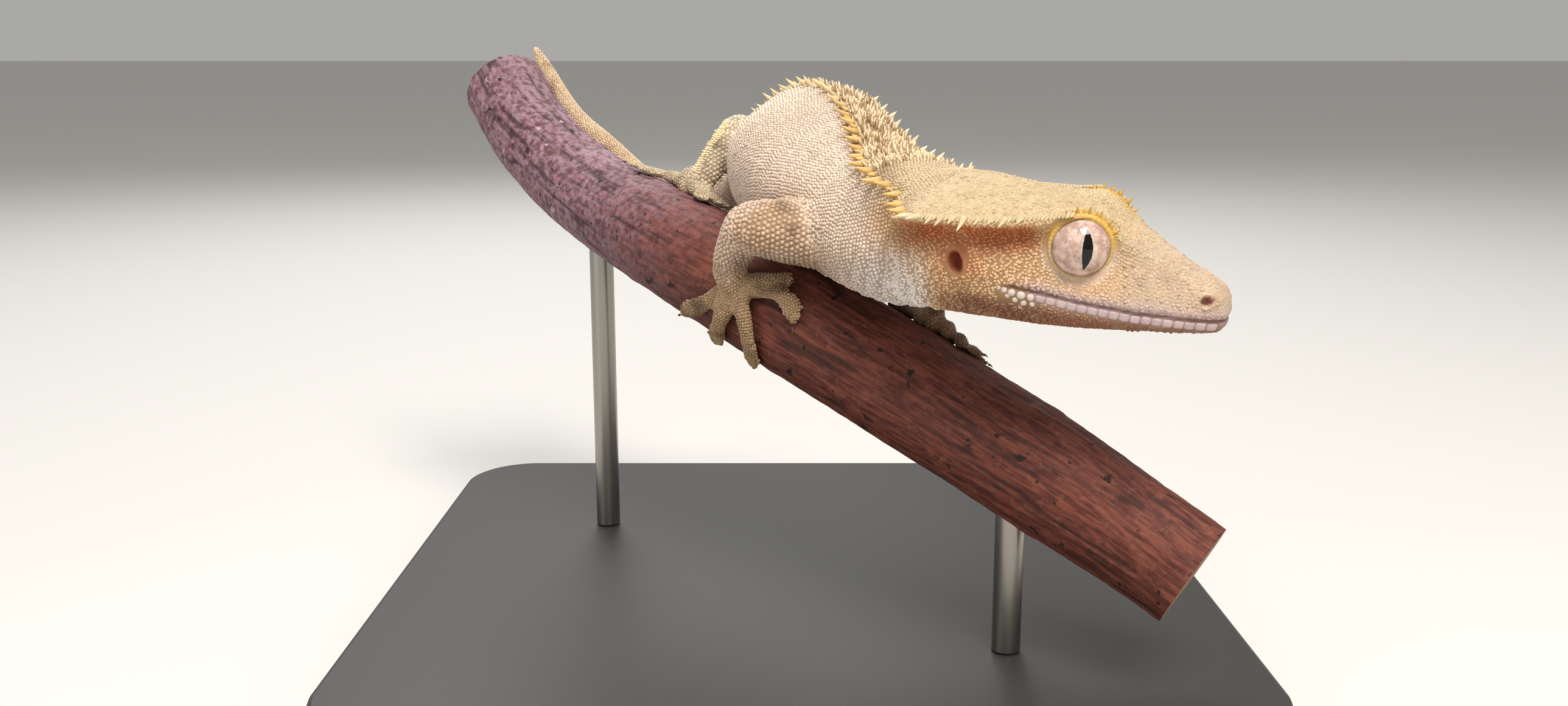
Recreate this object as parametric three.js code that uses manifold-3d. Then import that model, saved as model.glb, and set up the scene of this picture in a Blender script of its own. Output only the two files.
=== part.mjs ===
// A crested gecko, life size, crouched along a sloping branch that two rods hold over a flat base.
// Millimetres, +Z up. The origin is at the middle of the base's underside, and the gecko faces +X and a little -Y.
import * as THREE from "three";
import { mergeVertices } from "three/addons/utils/BufferGeometryUtils.js";
import Module from "manifold-3d";

const wasm = await Module();
wasm.setup();

// Sizes shared by several pieces
const gap = 0.3; // clear space between neighbouring pieces
const eyeRadius = 3.7;
const browRadius = 4.5;
const baseSize = { length: 126, width: 116, height: 6, corner: 12 };
const rodRadius = 2;

// The branch's centre line, from its upper end at the back to its lower end at the front, with its radius.
const branchStations = [
  { x: -52.4, y: 44.3, z: 80.4, radius: 7.3 },
  { x: -44.6, y: 33, z: 71, radius: 7.3 },
  { x: -32.3, y: 19.8, z: 62.6, radius: 7.7 },
  { x: -9.6, y: -7.7, z: 53.7, radius: 8.35 },
  { x: 25, y: -30.9, z: 36.1, radius: 8.2 },
  { x: 43.3, y: -40.3, z: 25.5, radius: 7.5 },
  { x: 50.2, y: -44.3, z: 21.2, radius: 7.3 },
];

// The trunk from inside the head to the tail's root: half width, height above and below the centre line,
// and the half distance and drop of the ridge that carries the crest of spines.
const trunkStations = [
  { x: 21.5, y: -41.5, z: 64.2, width: 7.6, rise: 8.0, drop: 7.6, ridge: 6.6, ridgeDrop: 2.0, roll: -5 },
  { x: 15.6, y: -33.6, z: 63.8, width: 9.6, rise: 9.4, drop: 9.4, ridge: 7.2, ridgeDrop: 2.2, roll: 0 },
  { x: 10.9, y: -23.8, z: 64.8, width: 11.2, rise: 10.0, drop: 9.8, ridge: 5.4, ridgeDrop: 1.3, roll: 8 },
  { x: 7.2, y: -15.2, z: 67.8, width: 12.2, rise: 10.8, drop: 10.8, ridge: 4.2, ridgeDrop: 1.0, roll: 13 },
  { x: 3.8, y: -7.6, z: 70.6, width: 12.2, rise: 11.4, drop: 12.0, ridge: 3.7, ridgeDrop: 0.9, roll: 15 },
  { x: 0.8, y: -0.2, z: 71.6, width: 11.4, rise: 10.6, drop: 12.0, ridge: 3.5, ridgeDrop: 0.8, roll: 13 },
  { x: -2.0, y: 6.9, z: 70.9, width: 9.0, rise: 8.4, drop: 9.6, ridge: 3.4, ridgeDrop: 0.7, roll: 8 },
  { x: -4.4, y: 12.8, z: 68.6, width: 7.0, rise: 6.4, drop: 7.4, ridge: 2.8, ridgeDrop: 0.5, roll: 3 },
  { x: -7.6, y: 18.2, z: 64.8, width: 5.2, rise: 4.6, drop: 5.0, ridge: 2.2, ridgeDrop: 0.4, roll: 0 },
  { x: -12.4, y: 21.8, z: 61, width: 3.7, rise: 3.3, drop: 3.5, ridge: 1.6, ridgeDrop: 0.3, roll: 0 },
];

// The tail: its root, how far along and round the branch it then lies, and its free end, with its radius.
const tailRoot = [
  { x: -9.2, y: 19.4, z: 63.2, radius: 4.2 },
  { x: -15.4, y: 23.4, z: 59.6, radius: 3.3 },
];
const tailRun = [
  { along: 41, round: 92, radius: 2.9 },
  { along: 31, round: 82, radius: 2.6 },
  { along: 22, round: 74, radius: 2.3 },
  { along: 13, round: 80, radius: 2.0 },
  { along: 5, round: 86, radius: 1.8 },
];
const tailEnd = [
  { x: -45.8, y: 50.6, z: 83.4, radius: 1.5 },
  { x: -48.9, y: 54.6, z: 88.2, radius: 0.9 },
];

// The head's own frame: its origin midway between the eyes, x to the snout, y to the gecko's left, z up.
const headPose = { x: 34.5, y: -47.4, z: 63.1, yaw: 24.3, pitch: 5.5, roll: 7.5 };

// Head sections from the snout's tip backwards. Each names the height of the crown and the throat, and a
// half width (Out) with its height (Up) for the crest, the hollow under it, the cheek, the lip and the jaw.
const headColumns = [
  "at", "crown", "crestOut", "crestUp", "hollowOut", "hollowUp", "cheekOut", "cheekUp",
  "lipOut", "lipUp", "jawOut", "jawUp", "throat",
];
const headRows = [
  [16.8, -2.6, 0.6, -2.8, 1.1, -3.2, 1.3, -4, 1.3, -4.9, 0.8, -5.9, -6.1],
  [16.1, -1.5, 1.4, -1.7, 2.2, -2.4, 2.6, -3.6, 2.5, -4.9, 1.7, -6.5, -6.9],
  [14.3, -0.6, 2, -0.8, 3.1, -1.7, 3.6, -3.2, 3.6, -4.7, 2.8, -6.7, -7.3],
  [10.6, 0.6, 2.9, 0.8, 3.9, -0.7, 4.7, -2.5, 5, -4.3, 4, -6.9, -7.7],
  [5.6, 2.5, 4.7, 3.3, 5.2, 1.5, 6, -1.3, 6.5, -3.7, 5.4, -7, -8.1],
  [0.6, 5.2, 7, 6.2, 6.7, 3.6, 7.3, -1.2, 7.8, -3.4, 6.5, -7.2, -8.5],
  [-4.4, 6.6, 8.6, 5.6, 7.8, 3.3, 8.5, -0.5, 8.9, -3.2, 7.1, -7.4, -8.8],
  [-9.4, 7.6, 9.9, 5, 8.4, 2.8, 9.4, -0.5, 9.4, -3.4, 7.1, -7.6, -8.9],
  [-14.4, 8, 10.7, 4.7, 8.6, 2.5, 9.3, -0.8, 8.9, -3.7, 6.5, -7.9, -9.2],
  [-19.4, 7.6, 10.6, 4.3, 8, 2.3, 8.5, -0.9, 8.2, -3.9, 6.2, -7.9, -9.3],
  [-23.4, 5.8, 6.6, 2.8, 6, 1.5, 6.4, -0.8, 6.2, -3.5, 5.2, -6.6, -7.8],
];
const headStations = headRows.map((row) => Object.fromEntries(row.map((size, i) => [headColumns[i], size])));

// Places in the head's frame, given for the left side
const eyeAt = new THREE.Vector3(-0.2, 5.3, 2.3);
const eyeLooks = new THREE.Vector3(0.3, 0.93, 0.12).normalize();
const nostrilAt = new THREE.Vector3(14.5, 3.25, -2.7);
const earAt = new THREE.Vector3(-13.9, 9.2, -1);
const mouthLine = [
  [20, -5.1], [16.5, -5.1], [12, -4.9], [7, -4.6], [2, -4], [-3, -3.2], [-7, -2.7], [-9.4, -3], [-11.2, -4.9], [-12, -12],
];

const colours = {
  crown: 0xdba75f, cheek: 0xd9a47a, lip: 0xe0bfa8, eye: 0xb59a8c, flank: 0xcfae8c, back: 0xa87b46,
  leg: 0xb4905e, tail: 0xd9bd8a, bark: 0x7a4038, base: 0x2b2a2a, rod: 0x8d9196,
};

const degrees = Math.PI / 180;
const point = (x, y, z) => new THREE.Vector3(x, y, z);

// The value at t, from 0 to 1, of a smooth curve through evenly spaced values.
function smooth(values, t) {
  const last = values.length - 1;
  const along = Math.min(Math.max(t, 0), 1) * last;
  const i = Math.min(Math.floor(along), last - 1);
  const f = along - i;
  const [b, c] = [values[i], values[i + 1]];
  const a = i > 0 ? values[i - 1] : 2 * b - c;
  const d = i < last - 1 ? values[i + 2] : 2 * c - b;
  return b + 0.5 * f * (c - a + f * (2 * a - 5 * b + 4 * c - d + f * (3 * b - a - 3 * c + d)));
}

// All the named sizes of a row of stations at t.
function sizesAt(stations, t) {
  const names = Object.keys(stations[0]);
  return Object.fromEntries(names.map((name) => [name, smooth(stations.map((station) => station[name]), t)]));
}

// The frame of a path at t: its place, the way it runs, and its left and upper sides, turned by roll.
function frameAt(stations, t, upward = point(0, 0, 1), roll = 0) {
  const step = 1e-3;
  const place = (s) => point(...["x", "y", "z"].map((axis) => smooth(stations.map((station) => station[axis]), s)));
  const ahead = place(Math.min(t + step, 1)).sub(place(Math.max(t - step, 0))).normalize();
  const left = upward.clone().cross(ahead).normalize().applyAxisAngle(ahead, roll * degrees);
  const up = ahead.clone().cross(left);
  return { at: place(t), ahead, left, up };
}

// A closed surface over a row of rings, each end closed on the middle of its ring.
function skinOver(rings) {
  const sides = rings[0].length;
  const points = rings.flat();
  const index = [];
  for (let k = 0; k < rings.length - 1; k++) {
    for (let i = 0; i < sides; i++) {
      const [a, b] = [k * sides + i, k * sides + ((i + 1) % sides)];
      index.push(a, b, b + sides, a, b + sides, a + sides);
    }
  }
  for (const [start, turn] of [[0, 1], [(rings.length - 1) * sides, 0]]) {
    const ring = points.slice(start, start + sides);
    points.push(ring.reduce((sum, p) => sum.add(p), point(0, 0, 0)).divideScalar(sides));
    for (let i = 0; i < sides; i++) {
      const [a, b] = [start + i, start + ((i + 1) % sides)];
      index.push(points.length - 1, turn ? b : a, turn ? a : b);
    }
  }
  return new THREE.BufferGeometry().setFromPoints(points).setIndex(index);
}

// A solid from a geometry, with its faces turned outwards.
function solidOf(geometry) {
  const bare = geometry.clone();
  bare.deleteAttribute("normal");
  bare.deleteAttribute("uv");
  const merged = mergeVertices(bare, 1e-4);
  const triVerts = new Uint32Array(merged.index.array);
  const vertProperties = merged.attributes.position.array;
  const made = new wasm.Manifold(new wasm.Mesh({ numProp: 3, vertProperties, triVerts }));
  if (made.volume() > 0) return made;
  for (let i = 0; i < triVerts.length; i += 3) {
    [triVerts[i + 1], triVerts[i + 2]] = [triVerts[i + 2], triVerts[i + 1]];
  }
  return new wasm.Manifold(new wasm.Mesh({ numProp: 3, vertProperties, triVerts }));
}

const union = (solids) => solids.reduce((sum, solid) => sum.add(solid));
const cutFrom = (solid, cutters) => cutters.reduce((rest, cutter) => rest.subtract(cutter), solid);
const largest = (solid) => solid.decompose().sort((a, b) => b.volume() - a.volume())[0];

// A ring of points through half an outline, given from top to bottom as [left, up], and its mirror image.
function ringOf(half, sides, frame, grow) {
  const right = half.slice(1, -1).reverse().map(([left, up]) => [-left, up]);
  const outline = new THREE.CatmullRomCurve3(
    [...half, ...right].map(([left, up]) => point(left, up, 0)), true, "catmullrom", 0.5);
  const middle = (half[0][1] + half[half.length - 1][1]) / 2;
  const ring = [];
  for (let i = 0; i < sides; i++) {
    const p = outline.getPoint(i / sides);
    const away = point(p.x, p.y - middle, 0).normalize().multiplyScalar(grow);
    ring.push(frame.at.clone().addScaledVector(frame.left, p.x + away.x).addScaledVector(frame.up, p.y + away.y));
  }
  return ring;
}

// A round or oval tube along stations that name a radius, or a width and a thickness; its ends are rounded.
function tube(stations, { rings, sides, upward, grow = 0, roundEnds = true }) {
  const made = [];
  for (let k = 0; k <= rings; k++) {
    const t = roundEnds ? (1 - Math.cos((Math.PI * k) / rings)) / 2 : k / rings;
    const size = sizesAt(stations, t);
    const frame = frameAt(stations, t, upward);
    const [width, thick] = [(size.width ?? size.radius) + grow, (size.thick ?? size.radius) + grow];
    const ring = [];
    for (let i = 0; i < sides; i++) {
      const turn = (2 * Math.PI * i) / sides;
      const p = frame.at.clone().addScaledVector(frame.left, width * Math.sin(turn));
      ring.push(p.addScaledVector(frame.up, thick * Math.cos(turn)));
    }
    made.push(ring);
  }
  return solidOf(skinOver(made));
}

// A limb segment between two joints: a capsule that swells at its middle, from LatheGeometry.
function segment(from, to, startRadius, middleRadius, endRadius, grow = 0, sides = 12, steps = 8) {
  const length = from.distanceTo(to);
  const profile = [];
  for (let k = 0; k <= steps; k++) {
    const turn = (Math.PI * k) / steps;
    const t = (1 - Math.cos(turn)) / 2;
    const radius = smooth([startRadius, middleRadius, endRadius], t) + grow;
    const cap = Math.sqrt(Math.max(0, 1 - (2 * t - 1) ** 6));
    const reach = -startRadius * 0.8 - grow + t * (length + 0.8 * (startRadius + endRadius) + 2 * grow);
    profile.push(new THREE.Vector2(k % steps === 0 ? 0 : radius * cap, reach));
  }
  const shape = new THREE.LatheGeometry(profile, sides);
  const turn = new THREE.Quaternion().setFromUnitVectors(point(0, 1, 0), to.clone().sub(from).normalize());
  return solidOf(shape.applyQuaternion(turn).translate(from.x, from.y, from.z));
}

// A spine: a cone of few sides from its root, sunk into what it grows from, to its tip.
function spine(root, direction, length, radius, sunk = 0.7) {
  const way = direction.clone().normalize();
  const shape = new THREE.ConeGeometry(radius, length + sunk, 5);
  shape.translate(0, (length + sunk) / 2 - sunk, 0);
  shape.applyQuaternion(new THREE.Quaternion().setFromUnitVectors(point(0, 1, 0), way));
  return solidOf(shape.translate(root.x, root.y, root.z));
}

// A large block on the far side of a plane, to keep or cut everything beyond it.
function beyond(at, way) {
  const size = 160;
  const shape = new THREE.BoxGeometry(size, size, size).translate(0, 0, size / 2);
  shape.applyQuaternion(new THREE.Quaternion().setFromUnitVectors(point(0, 0, 1), way.clone().normalize()));
  return solidOf(shape.translate(at.x, at.y, at.z));
}

// The branch, ribbed along its length like dry bark.
function branch(grow = 0) {
  const [rings, sides, ribs, ribHeight] = [30, 16, 5, 0.12];
  const made = [];
  for (let k = 0; k <= rings; k++) {
    const t = k / rings;
    const frame = frameAt(branchStations, t);
    const radius = sizesAt(branchStations, t).radius + grow;
    made.push(Array.from({ length: sides }, (_, i) => {
      const turn = (2 * Math.PI * i) / sides;
      const out = radius + (grow ? ribHeight : ribHeight * Math.sin(ribs * turn + 3 * t));
      return frame.at.clone().addScaledVector(frame.left, out * Math.sin(turn))
        .addScaledVector(frame.up, out * Math.cos(turn));
    }));
  }
  return solidOf(skinOver(made));
}

// A place on the branch: how far along it from its upper end, how far round from its top towards the
// gecko's left, and how high above its surface.
const branchLength = (() => {
  const steps = 300;
  const lengths = [0];
  for (let k = 1; k <= steps; k++) {
    const step = frameAt(branchStations, k / steps).at.distanceTo(frameAt(branchStations, (k - 1) / steps).at);
    lengths.push(lengths[k - 1] + step);
  }
  return lengths;
})();
function onBranch(along, round, height) {
  const steps = branchLength.length - 1;
  const k = Math.max(1, branchLength.findIndex((length) => length >= along));
  const share = (along - branchLength[k - 1]) / (branchLength[k] - branchLength[k - 1]);
  const t = (k - 1 + share) / steps;
  const frame = frameAt(branchStations, t);
  const out = frame.left.clone().multiplyScalar(Math.sin(round * degrees))
    .addScaledVector(frame.up, Math.cos(round * degrees));
  const at = frame.at.clone().addScaledVector(out, sizesAt(branchStations, t).radius + height);
  return { at, out, ahead: frame.ahead };
}

// The trunk as one body, with a flat back between its two ridges and its widest line low on the flank.
const trunkSides = 24;
function trunkRing(t, grow, sides = trunkSides) {
  const size = sizesAt(trunkStations, t);
  const frame = frameAt(trunkStations, t, point(0, 0, 1), size.roll);
  const half = [
    [0, size.rise], [size.ridge * 0.55, size.rise - size.ridgeDrop * 0.25], [size.ridge, size.rise - size.ridgeDrop],
    [size.width * 0.9, size.rise * 0.28], [size.width, -size.drop * 0.3], [size.width * 0.72, -size.drop * 0.82],
    [0, -size.drop],
  ];
  return ringOf(half, sides, frame, grow);
}
function trunk(grow = 0) {
  const rings = 34;
  return solidOf(skinOver(Array.from({ length: rings + 1 }, (_, k) => trunkRing(k / rings, grow))));
}

// A point on the trunk's ridge at t, with the way its spine leans: outwards, up and a little back.
function ridgeAt(t, side) {
  const size = sizesAt(trunkStations, t);
  const frame = frameAt(trunkStations, t, point(0, 0, 1), size.roll);
  const at = frame.at.clone().addScaledVector(frame.left, side * size.ridge)
    .addScaledVector(frame.up, size.rise - size.ridgeDrop);
  const lean = frame.left.clone().multiplyScalar(side * 0.85).addScaledVector(frame.up, 0.55)
    .addScaledVector(frame.ahead, 0.35);
  return { at, lean };
}

const headMatrix = new THREE.Matrix4().compose(
  point(headPose.x, headPose.y, headPose.z),
  new THREE.Quaternion().setFromAxisAngle(point(0, 0, 1), -headPose.yaw * degrees)
    .multiply(new THREE.Quaternion().setFromAxisAngle(point(0, 1, 0), headPose.pitch * degrees))
    .multiply(new THREE.Quaternion().setFromAxisAngle(point(1, 0, 0), headPose.roll * degrees)),
  point(1, 1, 1));
const inHead = (x, y, z) => point(x, y, z).applyMatrix4(headMatrix);
const headWay = (v) => v.clone().transformDirection(headMatrix);
const mirrored = (v, side) => point(v.x, v.y * side, v.z);

function headShell() {
  const [rings, sides] = [28, 22];
  const made = [];
  for (let k = 0; k <= rings; k++) {
    const size = sizesAt(headStations, k / rings);
    const frame = {
      at: inHead(size.at, 0, 0),
      left: headWay(point(0, 1, 0)),
      up: headWay(point(0, 0, 1)),
    };
    const half = [
      [0, size.crown], [size.crestOut, size.crestUp], [size.hollowOut, size.hollowUp], [size.cheekOut, size.cheekUp],
      [size.lipOut, size.lipUp], [size.jawOut, size.jawUp], [0, size.throat],
    ];
    made.push(ringOf(half, sides, frame, 0));
  }
  return solidOf(skinOver(made));
}

// The brow: a ball round the eye, cut off flat a little ahead of the eye's middle.
function browOver(side) {
  const looks = headWay(mirrored(eyeLooks, side));
  const at = inHead(eyeAt.x, side * eyeAt.y, eyeAt.z);
  const front = at.clone().addScaledVector(looks, 1);
  return ball(at, browRadius).intersect(beyond(front, looks.negate()));
}

// The rim of skin round an eye, and the row of lashes that stands on its upper half.
function eyeRim(side) {
  const [rimRadius, rimThick] = [eyeRadius - 0.15, 0.62];
  const looks = headWay(mirrored(eyeLooks, side));
  const at = inHead(eyeAt.x, side * eyeAt.y, eyeAt.z).addScaledVector(looks, 1.15);
  const turn = new THREE.Quaternion().setFromUnitVectors(point(0, 0, 1), looks);
  const ring = new THREE.TorusGeometry(rimRadius, rimThick, 5, 18).applyQuaternion(turn);
  const pieces = [solidOf(ring.translate(at.x, at.y, at.z))];
  const up = headWay(point(0, 0, 1)).projectOnPlane(looks).normalize();
  const lashes = 8;
  for (let i = 0; i < lashes; i++) {
    const swing = (-62 + (124 * i) / (lashes - 1)) * degrees;
    const out = up.clone().applyAxisAngle(looks, swing);
    const root = at.clone().addScaledVector(out, rimRadius + 0.3);
    const length = 0.75 + 0.35 * Math.abs(Math.sin(2.1 * i + 0.6));
    pieces.push(spine(root, out.addScaledVector(looks, 0.45), length, 0.3, 0.5));
  }
  return union(pieces);
}

// The spines along a head crest, from behind the eye to its rear corner.
function headCrestSpines(side) {
  const spines = [
    { at: -6.5, length: 0.6 }, { at: -8.2, length: 1.0 }, { at: -9.8, length: 0.6 }, { at: -11.2, length: 0.7 },
    { at: -12.8, length: 1.5 }, { at: -14.2, length: 0.7 }, { at: -15.4, length: 1.2 }, { at: -16.9, length: 1.5 },
    { at: -18.4, length: 1.3 },
  ];
  return spines.map(({ at, length }) => {
    const t = stationOf(at);
    const size = sizesAt(headStations, t);
    const root = inHead(at, side * (size.crestOut - 0.1), size.crestUp - 0.1);
    return spine(root, headWay(point(-0.45, side * 0.75, -0.5)), length, 0.42);
  });
}

// The share of the way along the head's stations at which a section lies.
function stationOf(at) {
  let [low, high] = [0, 1];
  for (let i = 0; i < 30; i++) {
    const t = (low + high) / 2;
    if (sizesAt(headStations, t).at > at) low = t;
    else high = t;
  }
  return (low + high) / 2;
}

// The thin slit that parts the jaw from the head along the line of the mouth.
function mouthSlit() {
  const halfThick = gap / 2 + 0.02;
  const line = new THREE.SplineCurve(mouthLine.map(([x, z]) => new THREE.Vector2(x, z)));
  const samples = line.getPoints(30);
  const edge = (sign) => samples.map((p, i) => {
    const t = line.getTangent(i / 30);
    return new THREE.Vector2(p.x - sign * halfThick * t.y, p.y + sign * halfThick * t.x);
  });
  const shape = new THREE.Shape([...edge(1), ...edge(-1).reverse()]);
  const sheet = new THREE.ExtrudeGeometry(shape, { depth: 40, bevelEnabled: false }).translate(0, 0, -20);
  return solidOf(sheet.rotateX(Math.PI / 2).applyMatrix4(headMatrix));
}

function ball(at, radius, across = 18, down = 12) {
  return solidOf(new THREE.SphereGeometry(radius, across, down).translate(at.x, at.y, at.z));
}

// A hollow in the skin: an oval ball that is taken away.
function hollow(at, radii, yaw) {
  const shape = new THREE.SphereGeometry(1, 12, 8).scale(...radii).rotateZ(yaw).translate(at.x, at.y, at.z);
  return solidOf(shape.applyMatrix4(headMatrix));
}

// Limbs. Each names its joints, the radii along it, and on the branch the place of its palm and the middle
// and tip of each digit, as [along, round].
const limbs = {
  right_front: {
    root: point(4.6, -26.8, 62.4),
    bend: point(-7.2, -24.6, 63.6),
    end: onBranch(79.2, -60, 3.2).at,
    radii: { root: 4.6, upper: 4.4, bend: 3.3, lower: 2.9, end: 2.1 },
    palm: [81, -68],
    digits: [
      [[76.6, -97], [71, -131]], [[79.6, -112], [77, -152]], [[85, -106], [84.8, -152]], [[87.2, -55], [91, -76]],
      [[85, -46], [87, -39]],
    ],
  },
  left_front: {
    root: point(14.2, -20.6, 61.8),
    bend: point(19.4, -13.4, 61.4),
    end: onBranch(101, 27, 3.2).at,
    radii: { root: 4.2, upper: 4.0, bend: 3.2, lower: 2.8, end: 2.1 },
    palm: [103.6, 28],
    digits: [
      [[108.6, 24], [113.4, 16]], [[109, 40], [113.4, 46]], [[106, 54], [109, 72]], [[101.4, 56], [101.6, 76]],
      [[98.6, 42], [95.6, 54]],
    ],
  },
  right_hind: {
    root: point(-7.2, 11, 69.6),
    bend: point(-9.4, 7.6, 74.8),
    end: onBranch(59.4, 20, 2.7).at,
    radii: { root: 3.6, upper: 3.9, bend: 2.7, lower: 2.5, end: 2.0 },
    palm: [57, 20],
    digits: [
      [[62.4, 22], [67, 22]], [[61.4, 12], [65, 6]], [[52, 36], [47.6, 46]], [[50.4, 20], [43, -4]],
      [[55.6, 44], [52, 62]],
    ],
  },
  left_hind: {
    root: point(0.9, 12.4, 69.6),
    bend: point(5.6, 9.6, 73.4),
    end: onBranch(69.4, 62, 3).at,
    radii: { root: 3.6, upper: 3.9, bend: 2.8, lower: 2.5, end: 2.0 },
    palm: [67, 70],
    digits: [
      [[71.6, 78], [75.6, 92]], [[68.4, 90], [71, 110]], [[64.6, 92], [64, 114]], [[61.6, 80], [56.6, 92]],
      [[62.8, 62], [58.6, 60]],
    ],
  },
};

// A digit from its root to its tip: the share of its length, its height over the branch, half width and half thickness.
const digitRows = [
  [0, 1.5, 1.9, 1.3], [0.25, 1.3, 1.6, 1.15], [0.45, 1.05, 1.3, 0.95], [0.62, 0.8, 1.6, 0.7],
  [0.78, 0.75, 1.65, 0.6], [0.9, 0.85, 0.8, 0.5], [1, 0.9, 0.2, 0.25],
];

const upperLimb = (limb, grow = 0) =>
  segment(limb.root, limb.bend, limb.radii.root, limb.radii.upper, limb.radii.bend, grow);
const lowerLimb = (limb, grow = 0) =>
  segment(limb.bend, limb.end, limb.radii.bend * 0.96, limb.radii.lower, limb.radii.end, grow, 10);

// A hand or foot: a palm on the branch and five digits, each a slim stem, a broad flat pad and a narrow tip.
function hand(limb) {
  const [along, round] = limb.palm;
  const pieces = [segment(limb.end, onBranch(along, round, 1.5).at, 2.1, 2.3, 2.2, 0, 9, 5)];
  for (const [middle, tip] of limb.digits) {
    const run = [0, 1].map((axis) => (share) => {
      const bow = 2 * middle[axis] - (limb.palm[axis] + tip[axis]) / 2;
      return (1 - share) ** 2 * limb.palm[axis] + 2 * share * (1 - share) * bow + share ** 2 * tip[axis];
    });
    const stations = digitRows.map(([share, height, width, thick]) => {
      const { x, y, z } = onBranch(run[0](share), run[1](share), height).at;
      return { x, y, z, width, thick };
    });
    const upward = onBranch(run[0](0.6), run[1](0.6), 0).out;
    pieces.push(tube(stations, { rings: 7, sides: 6, upward, roundEnds: false }));
  }
  return union(pieces);
}

const tailStations = [...tailRoot, ...tailRun.map(({ along, round, radius }) => {
  const { x, y, z } = onBranch(along, round, radius + gap).at;
  return { x, y, z, radius };
}), ...tailEnd];
const tail = () => tube(tailStations, { rings: 32, sides: 10 });

// The stand: a flat base with round corners, and a rod under each half of the branch.
function standBase() {
  const { length, width, height, corner } = baseSize;
  const outline = new THREE.Shape();
  const [x, y] = [length / 2, width / 2];
  outline.moveTo(-x + corner, -y);
  outline.lineTo(x - corner, -y);
  outline.absarc(x - corner, -y + corner, corner, -Math.PI / 2, 0);
  outline.lineTo(x, y - corner);
  outline.absarc(x - corner, y - corner, corner, 0, Math.PI / 2);
  outline.lineTo(-x + corner, y);
  outline.absarc(-x + corner, y - corner, corner, Math.PI / 2, Math.PI);
  outline.lineTo(-x, -y + corner);
  outline.absarc(-x + corner, -y + corner, corner, Math.PI, 1.5 * Math.PI);
  return solidOf(new THREE.ExtrudeGeometry(outline, { depth: height, bevelEnabled: false, curveSegments: 6 }));
}
function rod(along) {
  const top = onBranch(along, 180, -2).at;
  const foot = baseSize.height + gap;
  const height = top.z - foot;
  const shape = new THREE.CylinderGeometry(rodRadius, rodRadius, height, 20).rotateX(Math.PI / 2);
  return solidOf(shape.translate(top.x, top.y, foot + height / 2));
}

// Assembly
const group = new THREE.Group();
function add(name, solid, colour, roughness = 0.7, metalness = 0) {
  const mesh = largest(solid).getMesh();
  const geometry = new THREE.BufferGeometry();
  const positions = new Float32Array(mesh.numVert * 3);
  for (let i = 0; i < mesh.numVert; i++) {
    positions.set(mesh.vertProperties.subarray(i * mesh.numProp, i * mesh.numProp + 3), i * 3);
  }
  geometry.setAttribute("position", new THREE.BufferAttribute(positions, 3));
  geometry.setIndex(new THREE.BufferAttribute(mesh.triVerts, 1));
  geometry.computeVertexNormals();
  const made = new THREE.Mesh(geometry, new THREE.MeshStandardMaterial({ color: colour, roughness, metalness }));
  made.name = name;
  group.add(made);
}

const branchSolid = branch();
const branchRoom = branch(gap);
const body = union([headShell(), trunk()]);

// The trunk is parted across its path at these shares of its length.
const trunkCuts = { torso: 0.27, pelvis: 0.64, tail: 0.9 };
const pathPlane = (stations, t, side) => {
  const { at, ahead } = frameAt(stations, t);
  const start = at.clone().addScaledVector(ahead, (side * gap) / 2);
  return beyond(start, ahead.clone().multiplyScalar(side));
};
const cutPlane = (t, side) => pathPlane(trunkStations, t, side);

// Head and jaw
const behindHead = beyond(inHead(-20.4, 0, 0), headWay(point(-1, 0, -0.08)));
const aheadOfNeck = beyond(inHead(-20.4 - gap, 0, 0), headWay(point(1, 0, 0.08)));
const eyes = { left: 1, right: -1 };
const rims = Object.values(eyes).map(eyeRim);
const crests = Object.values(eyes).flatMap(headCrestSpines);
const sockets = Object.values(eyes).map((side) =>
  ball(inHead(eyeAt.x, side * eyeAt.y, eyeAt.z), eyeRadius + gap));
const nostrils = Object.values(eyes).map((side) =>
  hollow(mirrored(nostrilAt, side), [0.55, 0.7, 0.5], 0));
const brows = Object.values(eyes).map(browOver);
const ears = Object.values(eyes).map((side) =>
  hollow(mirrored(earAt, side), [0.8, 1.3, 1.5], side * 0.5));
const wholeHead = cutFrom(union([body, ...rims, ...brows, ...crests]), [behindHead, ...sockets, ...nostrils, ...ears]);
const headAndJaw = cutFrom(wholeHead, [mouthSlit()]).decompose().sort((a, b) => b.volume() - a.volume());
add("head", headAndJaw[0], colours.crown);
add("jaw", headAndJaw[1], colours.lip);
for (const [name, side] of Object.entries(eyes)) {
  add("eye_" + name, ball(inHead(eyeAt.x, side * eyeAt.y, eyeAt.z), eyeRadius), colours.eye, 0.15);
}

// Neck, torso and pelvis, with the crest of spines along both ridges
const crestSpines = [];
for (const side of Object.values(eyes)) {
  const count = 37;
  for (let i = 0; i < count; i++) {
    const t = 0.115 + (0.675 * i) / (count - 1);
    const { at, lean } = ridgeAt(t, side);
    const length = (1.9 - 1.3 * (i / count)) * (0.85 + 0.15 * Math.sin(2.4 * i));
    crestSpines.push(spine(at, lean, length, 0.5 - 0.1 * (i / count)));
  }
}
const limbRooms = Object.values(limbs).flatMap((limb) => [upperLimb(limb, gap), lowerLimb(limb, gap)]);
const spinyBody = cutFrom(union([body, ...crestSpines]), [branchRoom, ...limbRooms]);
const rearOf = (t) => cutPlane(t, 1);
const frontOf = (t) => cutPlane(t, -1);
const neckEnd = trunkCuts.torso;
add("neck", cutFrom(spinyBody.intersect(frontOf(neckEnd)), [aheadOfNeck]), colours.flank);
add("torso", spinyBody.intersect(rearOf(neckEnd)).intersect(frontOf(trunkCuts.pelvis)), colours.flank);
add("pelvis", spinyBody.intersect(rearOf(trunkCuts.pelvis)).intersect(frontOf(trunkCuts.tail)), colours.flank);

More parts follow.
